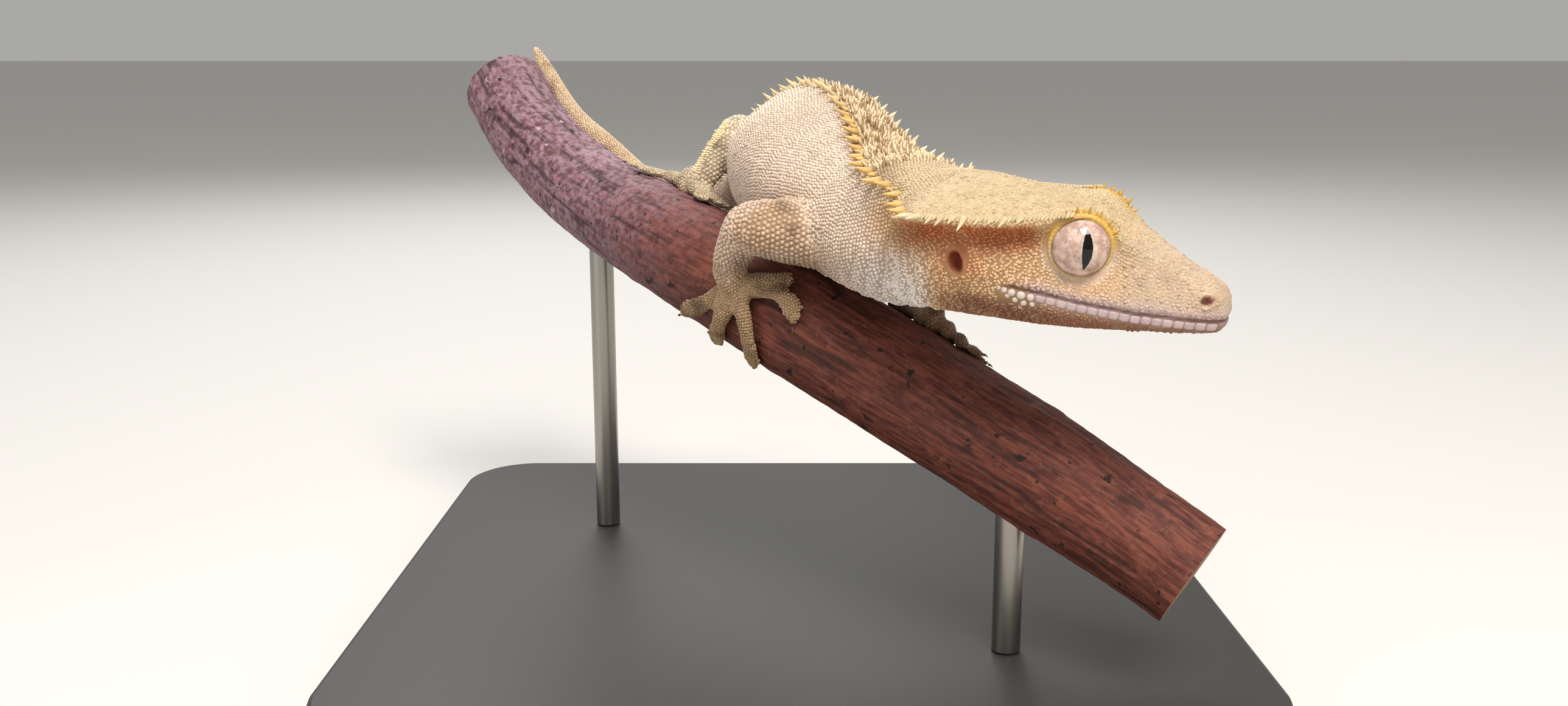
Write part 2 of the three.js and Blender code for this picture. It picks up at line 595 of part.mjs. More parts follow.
// Tail, in three lengths
const tailBody = cutFrom(tail(), [branchRoom]);
const tailPlane = (t, side) => pathPlane(tailStations, t, side);
const pelvisEnd = cutPlane(trunkCuts.tail, 1);
add("tail_base", tailBody.intersect(pelvisEnd).intersect(tailPlane(0.36, -1)), colours.tail);
add("tail_middle", tailBody.intersect(tailPlane(0.36, 1)).intersect(tailPlane(0.7, -1)), colours.tail);
add("tail_tip", tailBody.intersect(tailPlane(0.7, 1)), colours.tail);

// Legs
const trunkRoom = trunk(gap);
const names = {
  right_front: ["upper_arm_right", "forearm_right", "hand_right"],
  left_front: ["upper_arm_left", "forearm_left", "hand_left"],
  right_hind: ["thigh_right", "shin_right", "foot_right"],
  left_hind: ["thigh_left", "shin_left", "foot_left"],
};
for (const [key, limb] of Object.entries(limbs)) {
  const [upperName, lowerName, handName] = names[key];
  const upperRoom = upperLimb(limb, gap);
  const lowerRoom = lowerLimb(limb, gap);
  add(upperName, cutFrom(upperLimb(limb), [branchRoom]), colours.leg);
  add(lowerName, cutFrom(lowerLimb(limb), [branchRoom, upperRoom]), colours.leg);
  add(handName, cutFrom(hand(limb), [trunkRoom, branchRoom, upperRoom, lowerRoom]), colours.leg);
}

// Perch and stand
add("perch", branchSolid, colours.bark);
add("stand_base", standBase(), colours.base, 0.5);
add("stand_rod_front", cutFrom(rod(127), [branchRoom]), colours.rod, 0.35, 0.8);
add("stand_rod_back", cutFrom(rod(38), [branchRoom]), colours.rod, 0.35, 0.8);

export default group;
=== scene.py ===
import bpy, math
from functools import partial
import numpy as np
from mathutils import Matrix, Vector
from mathutils.bvhtree import BVHTree
from mathutils.kdtree import KDTree


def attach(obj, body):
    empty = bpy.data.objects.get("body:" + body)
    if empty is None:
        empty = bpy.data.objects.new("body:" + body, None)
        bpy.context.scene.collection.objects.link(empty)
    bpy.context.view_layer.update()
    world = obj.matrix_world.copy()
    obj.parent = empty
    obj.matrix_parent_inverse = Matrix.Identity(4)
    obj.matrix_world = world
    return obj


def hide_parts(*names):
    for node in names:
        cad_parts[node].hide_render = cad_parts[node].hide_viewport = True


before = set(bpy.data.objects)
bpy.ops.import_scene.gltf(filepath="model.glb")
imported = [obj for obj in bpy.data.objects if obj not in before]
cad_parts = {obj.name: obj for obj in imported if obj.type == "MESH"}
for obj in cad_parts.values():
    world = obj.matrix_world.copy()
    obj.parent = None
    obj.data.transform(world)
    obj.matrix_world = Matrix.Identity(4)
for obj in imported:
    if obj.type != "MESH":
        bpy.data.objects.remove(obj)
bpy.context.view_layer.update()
rng = np.random.default_rng(7)
mm = 0.001  # every table below is in millimetres


def unit(v):
    return v / np.linalg.norm(v, axis=-1, keepdims=True)


def ease(low, high, x):
    # 0 below low, 1 above high, 3s^2 - 2s^3 between
    s = np.clip((x - low) / (high - low), 0, 1)
    return s * s * (3 - 2 * s)


def hump(x, width):
    # bell curve exp(-(x / width)^2)
    return np.exp(-((x / width) ** 2))


def through(a, b, c, d, f):
    # smooth curve from b to c: b + f/2 (c - a + f (2a - 5b + 4c - d + f (3b - a - 3c + d)))
    return b + 0.5 * f * (c - a + f * (2 * a - 5 * b + 4 * c - d + f * (3 * b - a - 3 * c + d)))


def rows(table, t):
    # the smooth curve through evenly spaced rows
    table = np.asarray(table, float)
    last = len(table) - 1
    along = np.clip(np.asarray(t, float), 0, 1) * last
    i = np.minimum(np.floor(along).astype(int), last - 1)
    b, c = table[i], table[i + 1]
    a = np.where((i > 0)[..., None], table[np.maximum(i - 1, 0)], 2 * b - c)
    d = np.where((i < last - 1)[..., None], table[np.minimum(i + 2, last)], 2 * c - b)
    return through(a, b, c, d, (along - i)[..., None])


def circle(count):
    return np.linspace(0, 2 * np.pi, count, endpoint=False)


def frames(table, t, upward=(0, 0, 1), roll=0.0):
    # place, way ahead, left and upper side of a path at t; left and up turn about the way ahead by roll degrees
    at = rows(table, t)[..., :3]
    ahead = unit(rows(table, np.minimum(t + 1e-3, 1))[..., :3] - rows(table, np.maximum(t - 1e-3, 0))[..., :3])
    left = unit(np.cross(np.asarray(upward, float), ahead))
    up = np.cross(ahead, left)
    turn = np.radians(np.asarray(roll, float))[..., None]
    return at, ahead, left * np.cos(turn) + up * np.sin(turn), up * np.cos(turn) - left * np.sin(turn)


def outline(half, u):
    # closed smooth curve through half an outline, top to bottom, and its mirror image, at shares u round it
    whole = np.concatenate([half, half[..., -2:0:-1, :] * [-1, 1]], axis=-2)
    count = whole.shape[-2]
    along = (u % 1) * count
    i = np.floor(along).astype(int)
    near = (np.take_along_axis(whole, ((i + k) % count)[..., None, None], -2)[..., 0, :] for k in (-1, 0, 1, 2))
    return through(*near, (along - i)[..., None])


lattice = rng.random(65536)


def cloud(p, size, seed=0):
    # smooth noise from 0 to 1: random values on a lattice of the given size, blended between its corners
    q = np.asarray(p, float) / size + 1000.5
    cell = np.floor(q).astype(np.int64)
    f = q - cell
    f = f * f * (3 - 2 * f)
    total = np.zeros(q.shape[:-1])
    for corner in np.ndindex(2, 2, 2):
        key, weight = seed * 2654435, 1
        for k, prime in enumerate((73856093, 19349663, 83492791)):
            key = key ^ (cell[..., k] + corner[k]) * prime
            weight = weight * (f[..., k] if corner[k] else 1 - f[..., k])
        total += weight * lattice[key & 65535]
    return total


def outward(verts, faces, middle=0):
    # the faces, turned over when they look at the middle
    x, y, z = (verts[faces[:, k]] - middle for k in range(3))
    return faces if (x * np.cross(y, z)).sum() > 0 else faces[:, ::-1]


def shellOf(points):
    # rings x sides grid of points -> closed triangles, each end drawn together on its middle, faces outwards
    rings, sides = points.shape[:2]
    k, i = np.meshgrid(np.arange(rings - 1), np.arange(sides), indexing="ij")
    a, b = (k * sides + i).ravel(), (k * sides + (i + 1) % sides).ravel()
    ring, after = np.arange(sides), (np.arange(sides) + 1) % sides
    low, high = np.full(sides, rings * sides), np.full(sides, rings * sides + 1)
    last = (rings - 1) * sides
    faces = np.vstack([np.stack([a, b, b + sides], 1), np.stack([a, b + sides, a + sides], 1),
                       np.stack([low, after, ring], 1), np.stack([high, last + ring, last + after], 1)])
    verts = np.vstack([points.reshape(-1, 3), points[:1].mean(1), points[-1:].mean(1)])
    return verts, outward(verts, faces)


def joined(parts):
    # parts of (points, faces, more) as one
    starts = np.cumsum([0] + [len(part[0]) for part in parts])
    faces = np.vstack([part[1] + start for part, start in zip(parts, starts)])
    more = [np.vstack(rest) for rest in zip(*[part[2:] for part in parts])]
    return np.vstack([part[0] for part in parts]), faces, *more


def makePiece(name, verts, faces, material, replaced=(), slotName="", colour=None, uv=None, place=None,
              smooth=True):
    mesh = bpy.data.meshes.new(name)
    faces = np.ascontiguousarray(faces, dtype=np.int32)
    mesh.vertices.add(len(verts))
    mesh.vertices.foreach_set("co", (np.asarray(verts) * mm).astype(np.float32).ravel())
    mesh.loops.add(faces.size)
    mesh.loops.foreach_set("vertex_index", faces.ravel())
    mesh.polygons.add(len(faces))
    mesh.polygons.foreach_set("loop_start", np.arange(0, faces.size, faces.shape[1], dtype=np.int32))
    mesh.polygons.foreach_set("use_smooth", np.full(len(faces), smooth))
    mesh.update(calc_edges=True)
    if colour is not None:
        paint(mesh, colour)
    if place is not None:
        layer = mesh.attributes.new("place", "FLOAT_VECTOR", "POINT")
        layer.data.foreach_set("vector", np.asarray(place, dtype=np.float32).ravel())
    if uv is not None:
        layer = mesh.uv_layers.new(name="OFBake")
        layer.data.foreach_set("uv", np.asarray(uv, dtype=np.float32)[faces.ravel()].ravel())
    piece = bpy.data.objects.new(name, mesh)
    bpy.context.scene.collection.objects.link(piece)
    mesh.materials.append(material)
    if slotName:
        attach(piece, "root")
    if replaced:
        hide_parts(*replaced)
    return piece


def paint(mesh, colour):
    layer = mesh.color_attributes.new(name="marking", type="FLOAT_COLOR", domain="POINT")
    full = np.ones((len(mesh.vertices), 4), dtype=np.float32)
    full[:, :3] = colour
    layer.data.foreach_set("color", full.ravel())


def tone(r, g, b):
    # screen colour from 0 to 1 -> the linear colour that a shader takes
    return np.array([c / 12.92 if c <= 0.04045 else ((c + 0.055) / 1.055) ** 2.4 for c in (r, g, b)])


class Wire:
    # a number socket that works in Python expressions
    def __init__(self, board, socket):
        self.board, self.socket = board, socket

    def maths(self, operation, *others):
        return self.board.add("ShaderNodeMath", {"operation": operation}, dict(enumerate([self, *others])))

    def __add__(self, other): return self.maths("ADD", other)
    def __radd__(self, other): return self.maths("ADD", other)
    def __sub__(self, other): return self.maths("SUBTRACT", other)
    def __rsub__(self, other):
        return self.board.add("ShaderNodeMath", {"operation": "SUBTRACT"}, {0: other, 1: self})
    def __mul__(self, other): return self.maths("MULTIPLY", other)
    def __rmul__(self, other): return self.maths("MULTIPLY", other)

    def above(self, low, high):
        # 0 below low, 1 above high
        kind, steep = "ShaderNodeMapRange", {"interpolation_type": "SMOOTHSTEP"}
        return self.board.add(kind, steep, {0: self, 1: low, 2: high})


class Board:
    # the nodes of one material
    def __init__(self, name, **constants):
        self.material = bpy.data.materials.new(name)
        self.material.use_nodes = True
        self.tree = self.material.node_tree
        self.shader = self.tree.nodes["Principled BSDF"]
        for key, value in constants.items():
            self.shader.inputs[key.replace("_", " ")].default_value = value

    def add(self, kind, settings=None, sockets=None, out=0):
        node = self.tree.nodes.new(kind)
        for key, value in (settings or {}).items():
            setattr(node, key, value)
        for key, value in (sockets or {}).items():
            if isinstance(value, Wire):
                self.tree.links.new(value.socket, node.inputs[key])
            else:
                node.inputs[key].default_value = value
        return Wire(self, node.outputs[out])

    def mix(self, share, a, b):
        a, b = ((*c, 1) if not isinstance(c, Wire) else c for c in (a, b))
        return self.add("ShaderNodeMix", {"data_type": "RGBA"}, {0: share, 6: a, 7: b}, 2)

    def feed(self, socket, value):
        self.tree.links.new(value.socket, self.shader.inputs[socket])
        return self

    def bump(self, height, strength, distance):
        sockets = {"Strength": strength, "Distance": distance, "Height": height}
        return self.feed("Normal", self.add("ShaderNodeBump", {}, sockets))

    def spots(self, vector, scale, detail=2.0, rough=0.5, twist=0.0):
        sockets = {"Vector": vector, "Scale": scale, "Detail": detail, "Roughness": rough, "Distortion": twist}
        return self.add("ShaderNodeTexNoise", {}, sockets)

    def objectPlace(self):
        return self.add("ShaderNodeTexCoord", out=3)

    def attribute(self, name, out):
        return self.add("ShaderNodeAttribute", {"attribute_name": name}, out=out)

    def split(self, vector):
        node = self.add("ShaderNodeSeparateXYZ", {}, {0: vector}).socket.node
        return [Wire(self, socket) for socket in node.outputs]


branchShape = {
    # x, y, z, radius from the upper end at the back to the lower end at the front
    "stations": [
        [-52.4, 44.3, 80.4, 7.3], [-44.6, 33, 71, 7.3], [-32.3, 19.8, 62.6, 7.7], [-9.6, -7.7, 53.7, 8.35],
        [25, -30.9, 36.1, 8.2], [43.3, -40.3, 25.5, 7.5], [50.2, -44.3, 21.2, 7.3],
    ],
    "rings": 420, "sides": 150, "rib": 0.3,
}
fine = np.linspace(0, 1, 601)
branchAxis = rows(branchShape["stations"], fine)
branchLength = np.concatenate([[0], np.cumsum(np.linalg.norm(np.diff(branchAxis[:, :3], axis=0), axis=1))])


def onBranch(along, around, height):
    # the place on the branch at a length along it, an angle round from its top and a height over its bark
    t = np.interp(along, branchLength, fine)
    at, ahead, left, up = frames(branchShape["stations"], t)
    turn = np.radians(np.asarray(around, float))[..., None]
    out = left * np.sin(turn) + up * np.cos(turn)
    return at + out * (rows(branchShape["stations"], t)[..., 3:] + np.asarray(height, float)[..., None]), out


def barkSurface():
    # circle of the station's radius, less a depth: long wandering furrows, short cross cracks and shallow knots
    sides = branchShape["sides"]
    t, turn = np.meshgrid(np.linspace(0, 1, branchShape["rings"]), circle(sides), indexing="ij")
    at, ahead, left, up = frames(branchShape["stations"], t)
    out = left * np.sin(turn)[..., None] + up * np.cos(turn)[..., None]
    length = np.interp(t, fine, branchLength)
    stretched = lambda share: np.stack([np.cos(turn) * 8, np.sin(turn) * 8, length * share], -1)
    thin, broad = (np.abs(cloud(stretched(0.09), size, seed) - 0.5) * 2 for size, seed in ((0.9, 1), (2.1, 2)))
    crack = cloud(stretched(1), 0.8, 3)
    knot = ease(0.72, 0.9, cloud(stretched(0.6), 3.2, 4))
    depth = 0.13 * (1 - ease(0, 0.3, thin)) + 0.1 * (1 - ease(0, 0.35, broad)) + 0.1 * crack - 0.15 * knot
    points = at + out * (rows(branchShape["stations"], t)[..., 3] + 0.02 - depth)[..., None]
    place = np.stack([turn / (2 * np.pi), length, depth], -1)
    # sawn ends: rings that draw in to the middle, marked by a depth of -1 less the share of the radius
    shares = np.array([0.98, 0.9, 0.75, 0.6, 0.45, 0.3, 0.15, 0.03])[:, None, None]
    caps = [at[k, 0] + (points[k] - at[k, 0]) * shares for k in (0, -1)]
    marks = [np.concatenate([np.tile(place[k, None, :, :2], (len(shares), 1, 1)),
                             np.tile(-1 - shares, (1, sides, 1))], -1) for k in (0, -1)]
    return [np.concatenate([ends[0][::-1], inner, ends[1]]) for ends, inner in ((caps, points), (marks, place))]


trunkShape = {
    # x, y, z, half width, rise, drop, ridge, ridge drop, roll from inside the head to the root of the tail
    "stations": [
        [21.5, -41.5, 64.2, 7.6, 8.0, 7.6, 6.6, 2.0, -5], [15.6, -33.6, 63.8, 9.6, 9.4, 9.4, 7.2, 2.2, 0],
        [10.9, -23.8, 64.8, 11.2, 10.0, 9.8, 5.4, 1.3, 8], [7.2, -15.2, 67.8, 12.2, 10.8, 10.8, 4.2, 1.0, 13],
        [3.8, -7.6, 70.6, 12.2, 11.4, 12.0, 3.7, 0.9, 15], [0.8, -0.2, 71.6, 11.4, 10.6, 12.0, 3.5, 0.8, 13],
        [-2.0, 6.9, 70.9, 9.0, 8.4, 9.6, 3.4, 0.7, 8], [-4.4, 12.8, 68.6, 7.0, 6.4, 7.4, 2.8, 0.5, 3],
        [-7.6, 18.2, 64.8, 5.2, 4.6, 5.0, 2.2, 0.4, 0], [-12.4, 21.8, 61, 3.7, 3.3, 3.5, 1.6, 0.3, 0],
    ],
}


def trunkFrame(t):
    # the row at t, and the place, way ahead, left and upper side, rolled
    size = rows(trunkShape["stations"], t)
    return size, *frames(trunkShape["stations"], t, roll=size[..., 8])


def trunkPoint(t, u, grow=0.0):
    # section through seven points of half the outline, carried along the back
    size, at, ahead, left, up = trunkFrame(t)
    width, rise, drop, ridge, ridgeDrop = (size[..., k] for k in (3, 4, 5, 6, 7))
    zero = np.zeros_like(width)
    half = np.stack([
        zero, rise, ridge * 0.55, rise - ridgeDrop * 0.25, ridge, rise - ridgeDrop, width * 0.9, rise * 0.28,
        width, -drop * 0.3, width * 0.72, -drop * 0.82, zero, -drop], -1).reshape(*width.shape, 7, 2)
    flat = outline(half, u)
    flat = flat + unit(flat - np.stack([zero, (rise - drop) / 2], -1)) * grow
    return at + left * flat[..., :1] + up * flat[..., 1:]


headShape = {
    "at": [34.5, -47.4, 63.1], "yaw": 24.3, "pitch": 5.5, "roll": 7.5,
    # at, crown, crest out and up, hollow out and up, cheek out and up, lip out and up, jaw out and up, throat
    "stations": [
        [16.8, -2.6, 0.6, -2.8, 1.1, -3.2, 1.3, -4, 1.3, -4.9, 0.8, -5.9, -6.1],
        [16.1, -1.5, 1.4, -1.7, 2.2, -2.4, 2.6, -3.6, 2.5, -4.9, 1.7, -6.5, -6.9],
        [14.3, -0.6, 2, -0.8, 3.1, -1.7, 3.6, -3.2, 3.6, -4.7, 2.8, -6.7, -7.3],
        [10.6, 0.6, 2.9, 0.8, 3.9, -0.7, 4.7, -2.5, 5, -4.3, 4, -6.9, -7.7],
        [5.6, 2.5, 4.7, 3.3, 5.2, 1.5, 6, -1.3, 6.5, -3.7, 5.4, -7, -8.1],
        [0.6, 5.2, 7, 6.2, 6.7, 3.6, 7.3, -1.2, 7.8, -3.4, 6.5, -7.2, -8.5],
        [-4.4, 6.6, 8.6, 5.6, 7.8, 3.3, 8.5, -0.5, 8.9, -3.2, 7.1, -7.4, -8.8],
        [-9.4, 7.6, 9.9, 5, 8.4, 2.8, 9.4, -0.5, 9.4, -3.4, 7.1, -7.6, -8.9],
        [-14.4, 8, 10.7, 4.7, 8.6, 2.5, 9.3, -0.8, 8.9, -3.7, 6.5, -7.9, -9.2],
        [-19.4, 7.6, 10.6, 4.3, 8, 2.3, 8.5, -0.9, 8.2, -3.9, 6.2, -7.9, -9.3],
        [-23.4, 5.8, 6.6, 2.8, 6, 1.5, 6.4, -0.8, 6.2, -3.5, 5.2, -6.6, -7.8],
    ],
    "eyeAt": [-0.2, 5.3, 2.3], "eyeLooks": [0.3, 0.93, 0.12], "eyeRadius": 3.7, "browRadius": 4.5,
    "nostril": [14.5, 3.25, -2.7], "ear": [-13.9, 9.2, -1.0],
    # height of the mouth's line from the corner to the snout, as [at, height]
    "mouth": [[-9.4, -3.0], [-7, -2.7], [-3, -3.2], [2, -4.0], [7, -4.6], [12, -4.9], [16.5, -5.1], [20, -5.1]],
}


def turnAbout(axis, angle):
    c, s = math.cos(math.radians(angle)), math.sin(math.radians(angle))
    return np.roll(np.roll(np.array([[1, 0, 0], [0, c, -s], [0, s, c]]), axis, 0), axis, 1)


headTurn = turnAbout(2, -headShape["yaw"]) @ turnAbout(1, headShape["pitch"]) @ turnAbout(0, headShape["roll"])
headAt = np.array(headShape["at"])
headAlong = -np.array(headShape["stations"])[:, 0]


def fromHead(p):
    return np.asarray(p, float) @ headTurn.T + headAt


def toHead(p):
    return (np.asarray(p, float) - headAt) @ headTurn


def headPoint(t, u, grow=0.0):
    # section through crown, crest, hollow, cheek, lip, jaw and throat, carried from the snout back
    size = rows(headShape["stations"], t)
    zero = np.zeros_like(size[..., :1])
    half = np.concatenate([zero, size[..., 1:12], zero, size[..., 12:]], -1).reshape(*size.shape[:-1], 7, 2)
    flat = outline(half, u)
    middle = np.stack([zero[..., 0], (size[..., 1] + size[..., 12]) / 2], -1)
    flat = flat + unit(flat - middle) * grow
    return fromHead(np.concatenate([size[..., :1], flat], -1))


def headSize(x):
    # the row of the head's table at x
    return rows(headShape["stations"], np.interp(-x, headAlong, np.linspace(0, 1, len(headAlong))))


def mouthHeight(x):
    return np.interp(x, *np.array(headShape["mouth"]).T)


def mirrored(at, side):
    return np.array(at) * [1, side, 1]


def eyeFrame(side):
    # centre, way it looks, across towards the snout, and up
    looks = unit(mirrored(headShape["eyeLooks"], side)) @ headTurn.T
    up = headTurn @ np.array([0, 0, 1.0])
    up = unit(up - looks * (up @ looks))
    across = np.cross(up, looks)
    snout = headTurn @ np.array([1.0, 0, 0])
    return fromHead(mirrored(headShape["eyeAt"], side)), looks, across * np.sign(across @ snout), up


def fromEye(at, side):
    # how far each place is ahead of the eye's middle, and from the line along which the eye looks
    centre, looks = eyeFrame(side)[:2]
    depth = (at - centre) @ looks
    return depth, np.linalg.norm(at - centre - depth[:, None] * looks, axis=1)


limbShape = {
    # root and bend are places; end, palm and the digits' middle and tip are on the branch: along, round, height
    "armRight": {
        "root": [4.6, -26.8, 62.4], "bend": [-7.2, -24.6, 63.6], "end": [79.2, -60, 3.2], "palm": [81, -68],
        "radii": [4.6, 4.4, 3.3, 2.9, 2.1], "nodes": ["upper_arm_right", "forearm_right", "hand_right"],
        "digits": [[76.6, -97, 71, -131], [79.6, -112, 77, -152], [85, -106, 84.8, -152], [87.2, -55, 91, -76],
                   [85, -46, 87, -39]],
    },
    "armLeft": {
        "root": [14.2, -20.6, 61.8], "bend": [19.4, -13.4, 61.4], "end": [101, 27, 3.2], "palm": [103.6, 28],
        "radii": [4.2, 4.0, 3.2, 2.8, 2.1], "nodes": ["upper_arm_left", "forearm_left", "hand_left"],
        "digits": [[108.6, 24, 113.4, 16], [109, 40, 113.4, 46], [106, 54, 109, 72], [101.4, 56, 101.6, 76],
                   [98.6, 42, 95.6, 54]],
    },
    "legRight": {
        "root": [-7.2, 11, 69.6], "bend": [-9.4, 7.6, 74.8], "end": [59.4, 20, 2.7], "palm": [57, 20],
        "radii": [3.6, 3.9, 2.7, 2.5, 2.0], "nodes": ["thigh_right", "shin_right", "foot_right"],
        "digits": [[62.4, 22, 67, 22], [61.4, 12, 65, 6], [52, 36, 47.6, 46], [50.4, 20, 43, -4],
                   [55.6, 44, 52, 62]],
    },
    "legLeft": {
        "root": [0.9, 12.4, 69.6], "bend": [5.6, 9.6, 73.4], "end": [69.4, 62, 3], "palm": [67, 70],
        "radii": [3.6, 3.9, 2.8, 2.5, 2.0], "nodes": ["thigh_left", "shin_left", "foot_left"],
        "digits": [[71.6, 78, 75.6, 92], [68.4, 90, 71, 110], [64.6, 92, 64, 114], [61.6, 80, 56.6, 92],
                   [62.8, 62, 58.6, 60]],
    },
}
# share of a digit's length, height over the branch, half width and half thickness
digitRows = [[0, 1.5, 1.9, 1.3], [0.25, 1.3, 1.6, 1.15], [0.45, 1.05, 1.3, 0.95], [0.62, 0.8, 1.6, 0.7],
             [0.78, 0.75, 1.65, 0.6], [0.9, 0.85, 0.8, 0.5], [1, 0.9, 0.2, 0.25]]
tailRun = {"root": [[-9.2, 19.4, 63.2, 4.2], [-15.4, 23.4, 59.6, 3.3]],
           "run": [[41, 92, 2.9], [31, 82, 2.6], [22, 74, 2.3], [13, 80, 2.0], [5, 86, 1.8]],
           "end": [[-45.8, 50.6, 83.4, 1.5], [-48.9, 54.6, 88.2, 0.9]]}


def segmentPoint(start, end, radii, t, u, grow=0.0):
    # capsule whose radius runs through three values and closes as sqrt(1 - (2t - 1)^6)
    start, end = np.array(start, float), np.array(end, float)
    way = unit(end - start)
    side = unit(np.cross(way, [0.3, 0.9, 0.2]))
    radius = (rows([[r] for r in radii], t)[..., 0] + grow) * np.sqrt(np.clip(1 - (2 * t - 1) ** 6, 0, 1))
    reach = -0.8 * radii[0] - grow + t * (np.linalg.norm(end - start) + 0.8 * (radii[0] + radii[2]) + 2 * grow)
    turn = 2 * np.pi * u
    return (start + way * reach[..., None] + side * (radius * np.sin(turn))[..., None]
            + np.cross(way, side) * (radius * np.cos(turn))[..., None])


def tubePoint(table, upward, blunt, t, u, grow=0.0):
    # oval of the row's half width and half thickness carried along the path, its ends rounded off by blunt
    size = rows(table, t)
    at, ahead, left, up = frames(table, t, upward)
    close = np.sqrt(np.clip(1 - np.abs(2 * t - 1) ** blunt, 0, 1))
    turn = 2 * np.pi * u
    return (at + left * ((size[..., 3] + grow) * close * np.sin(turn))[..., None]
            + up * ((size[..., 4] + grow) * close * np.cos(turn))[..., None])


def digitTable(palm, middle, tip):
    # the digit's path on the branch bends so that it passes through the middle point
    form = np.array(digitRows)
    share = form[:, :1]
    run = (1 - share) ** 2 * palm + 2 * share * (1 - share) * (2 * middle - (palm + tip) / 2) + share ** 2 * tip
    at, out = onBranch(run[:, 0], run[:, 1], form[:, 1])
    return np.hstack([at, form[:, 2:]]), out[4]


tailTable = np.vstack([
    [[*row, row[3]] for row in tailRun["root"]],
    [[*onBranch(a, r, radius + 0.3)[0], radius, radius] for a, r, radius in tailRun["run"]],
    [[*row, row[3]] for row in tailRun["end"]],
])


def browPoint(side, t, u, grow=0.0):
    # ball round the eye, cut off flat 1 mm ahead of the eye's middle
    centre, looks, across, up = eyeFrame(side)
    radius = headShape["browRadius"] + grow
    tilt = math.acos(1.0 / radius) + (math.pi - math.acos(1.0 / radius)) * t
    turn = 2 * np.pi * u
    return (centre + looks * (radius * np.cos(tilt))[..., None]
            + across * (radius * np.sin(tilt) * np.cos(turn))[..., None]
            + up * (radius * np.sin(tilt) * np.sin(turn))[..., None])


# every part of the flesh as a surface of (t, u, grow)
fleshParts = {"trunk": trunkPoint, "head": headPoint, "tail": partial(tubePoint, tailTable, (0, 0, 1), 14),
              "browLeft": partial(browPoint, 1), "browRight": partial(browPoint, -1)}
clawTips = []
for limbName, limb in limbShape.items():
    palmAt = onBranch(*limb["palm"], 1.5)[0]
    wrist = onBranch(*limb["end"])[0]
    r = limb["radii"]
    fleshParts[limbName + "Upper"] = partial(segmentPoint, limb["root"], limb["bend"], r[:3])
    fleshParts[limbName + "Lower"] = partial(segmentPoint, limb["bend"], wrist, [r[2] * 0.96, r[3], r[4]])
    fleshParts[limbName + "Palm"] = partial(segmentPoint, wrist, palmAt, [2.1, 2.3, 2.2])
    for number, digit in enumerate(limb["digits"]):
        table, out = digitTable(*(np.array(place, float) for place in (limb["palm"], digit[:2], digit[2:])))
        fleshParts[limbName + "Digit" + str(number)] = partial(tubePoint, table, out, 16)
        clawTips.append((table[-1, :3], unit(table[-1, :3] - table[-2, :3]), out))
print("surfaces:", len(fleshParts))


def grid(rings, sides, shape, grow=0.0):
    t, u = np.meshgrid(np.linspace(0, 1, rings), np.arange(sides) / sides, indexing="ij")
    return shape(t, u, grow)


# the skin: all parts joined, drawn over by one sheet, then carved on the head
skinShape = {"sink": 0.14, "grain": 0.5, "smoothing": 4}  # how far it lies inside the solids, voxel, rounds
sunk = [shellOf(grid(*((90, 64) if name in ("trunk", "head") else (40, 28)), shape, -skinShape["sink"]))
        for name, shape in fleshParts.items()]
lump = bpy.data.meshes.new("skinLump")
v, f = joined(sunk)
lump.from_pydata(v * mm, [], f.tolist())
lumpPiece = bpy.data.objects.new("skinLump", lump)
bpy.context.scene.collection.objects.link(lumpPiece)
remesh = lumpPiece.modifiers.new("oneSkin", "REMESH")
remesh.mode, remesh.voxel_size, remesh.use_smooth_shade = "VOXEL", skinShape["grain"] * mm, True
bpy.context.view_layer.update()
made = lumpPiece.evaluated_get(bpy.context.evaluated_depsgraph_get()).to_mesh()
skinAt = np.empty(len(made.vertices) * 3)
made.vertices.foreach_get("co", skinAt)
skinAt = skinAt.reshape(-1, 3) / mm
quads = np.empty(len(made.polygons) * 4, dtype=np.int32)
made.polygons.foreach_get("vertices", quads)
quads = quads.reshape(-1, 4)
lumpPiece.to_mesh_clear()
bpy.data.objects.remove(lumpPiece)
bpy.data.meshes.remove(lump)
print("skin sheet:", len(skinAt), "points")


def pairsOf(faces):
    edges = np.vstack([faces[:, [k, (k + 1) % faces.shape[1]]] for k in range(faces.shape[1])])
    return np.unique(np.sort(edges, 1), axis=0)


def spread(values, pairs, count, share=0.5):
    # each point moves towards the mean of its neighbours, count times
    values = np.array(values, float)
    shape = values.shape
    flat = values.reshape(shape[0], -1)
    low, high = pairs.T
    degree = np.bincount(pairs.ravel(), minlength=shape[0])[:, None]
    for _ in range(count):
        total = np.stack([np.bincount(low, flat[high, k], shape[0]) + np.bincount(high, flat[low, k], shape[0])
                          for k in range(flat.shape[1])], 1)
        flat = flat + share * (total / degree - flat)
    return flat.reshape(shape)


pairs = pairsOf(quads)
for _ in range(skinShape["smoothing"]):
    skinAt = spread(skinAt, pairs, 1, 0.5)
    skinAt = spread(skinAt, pairs, 1, -0.52)


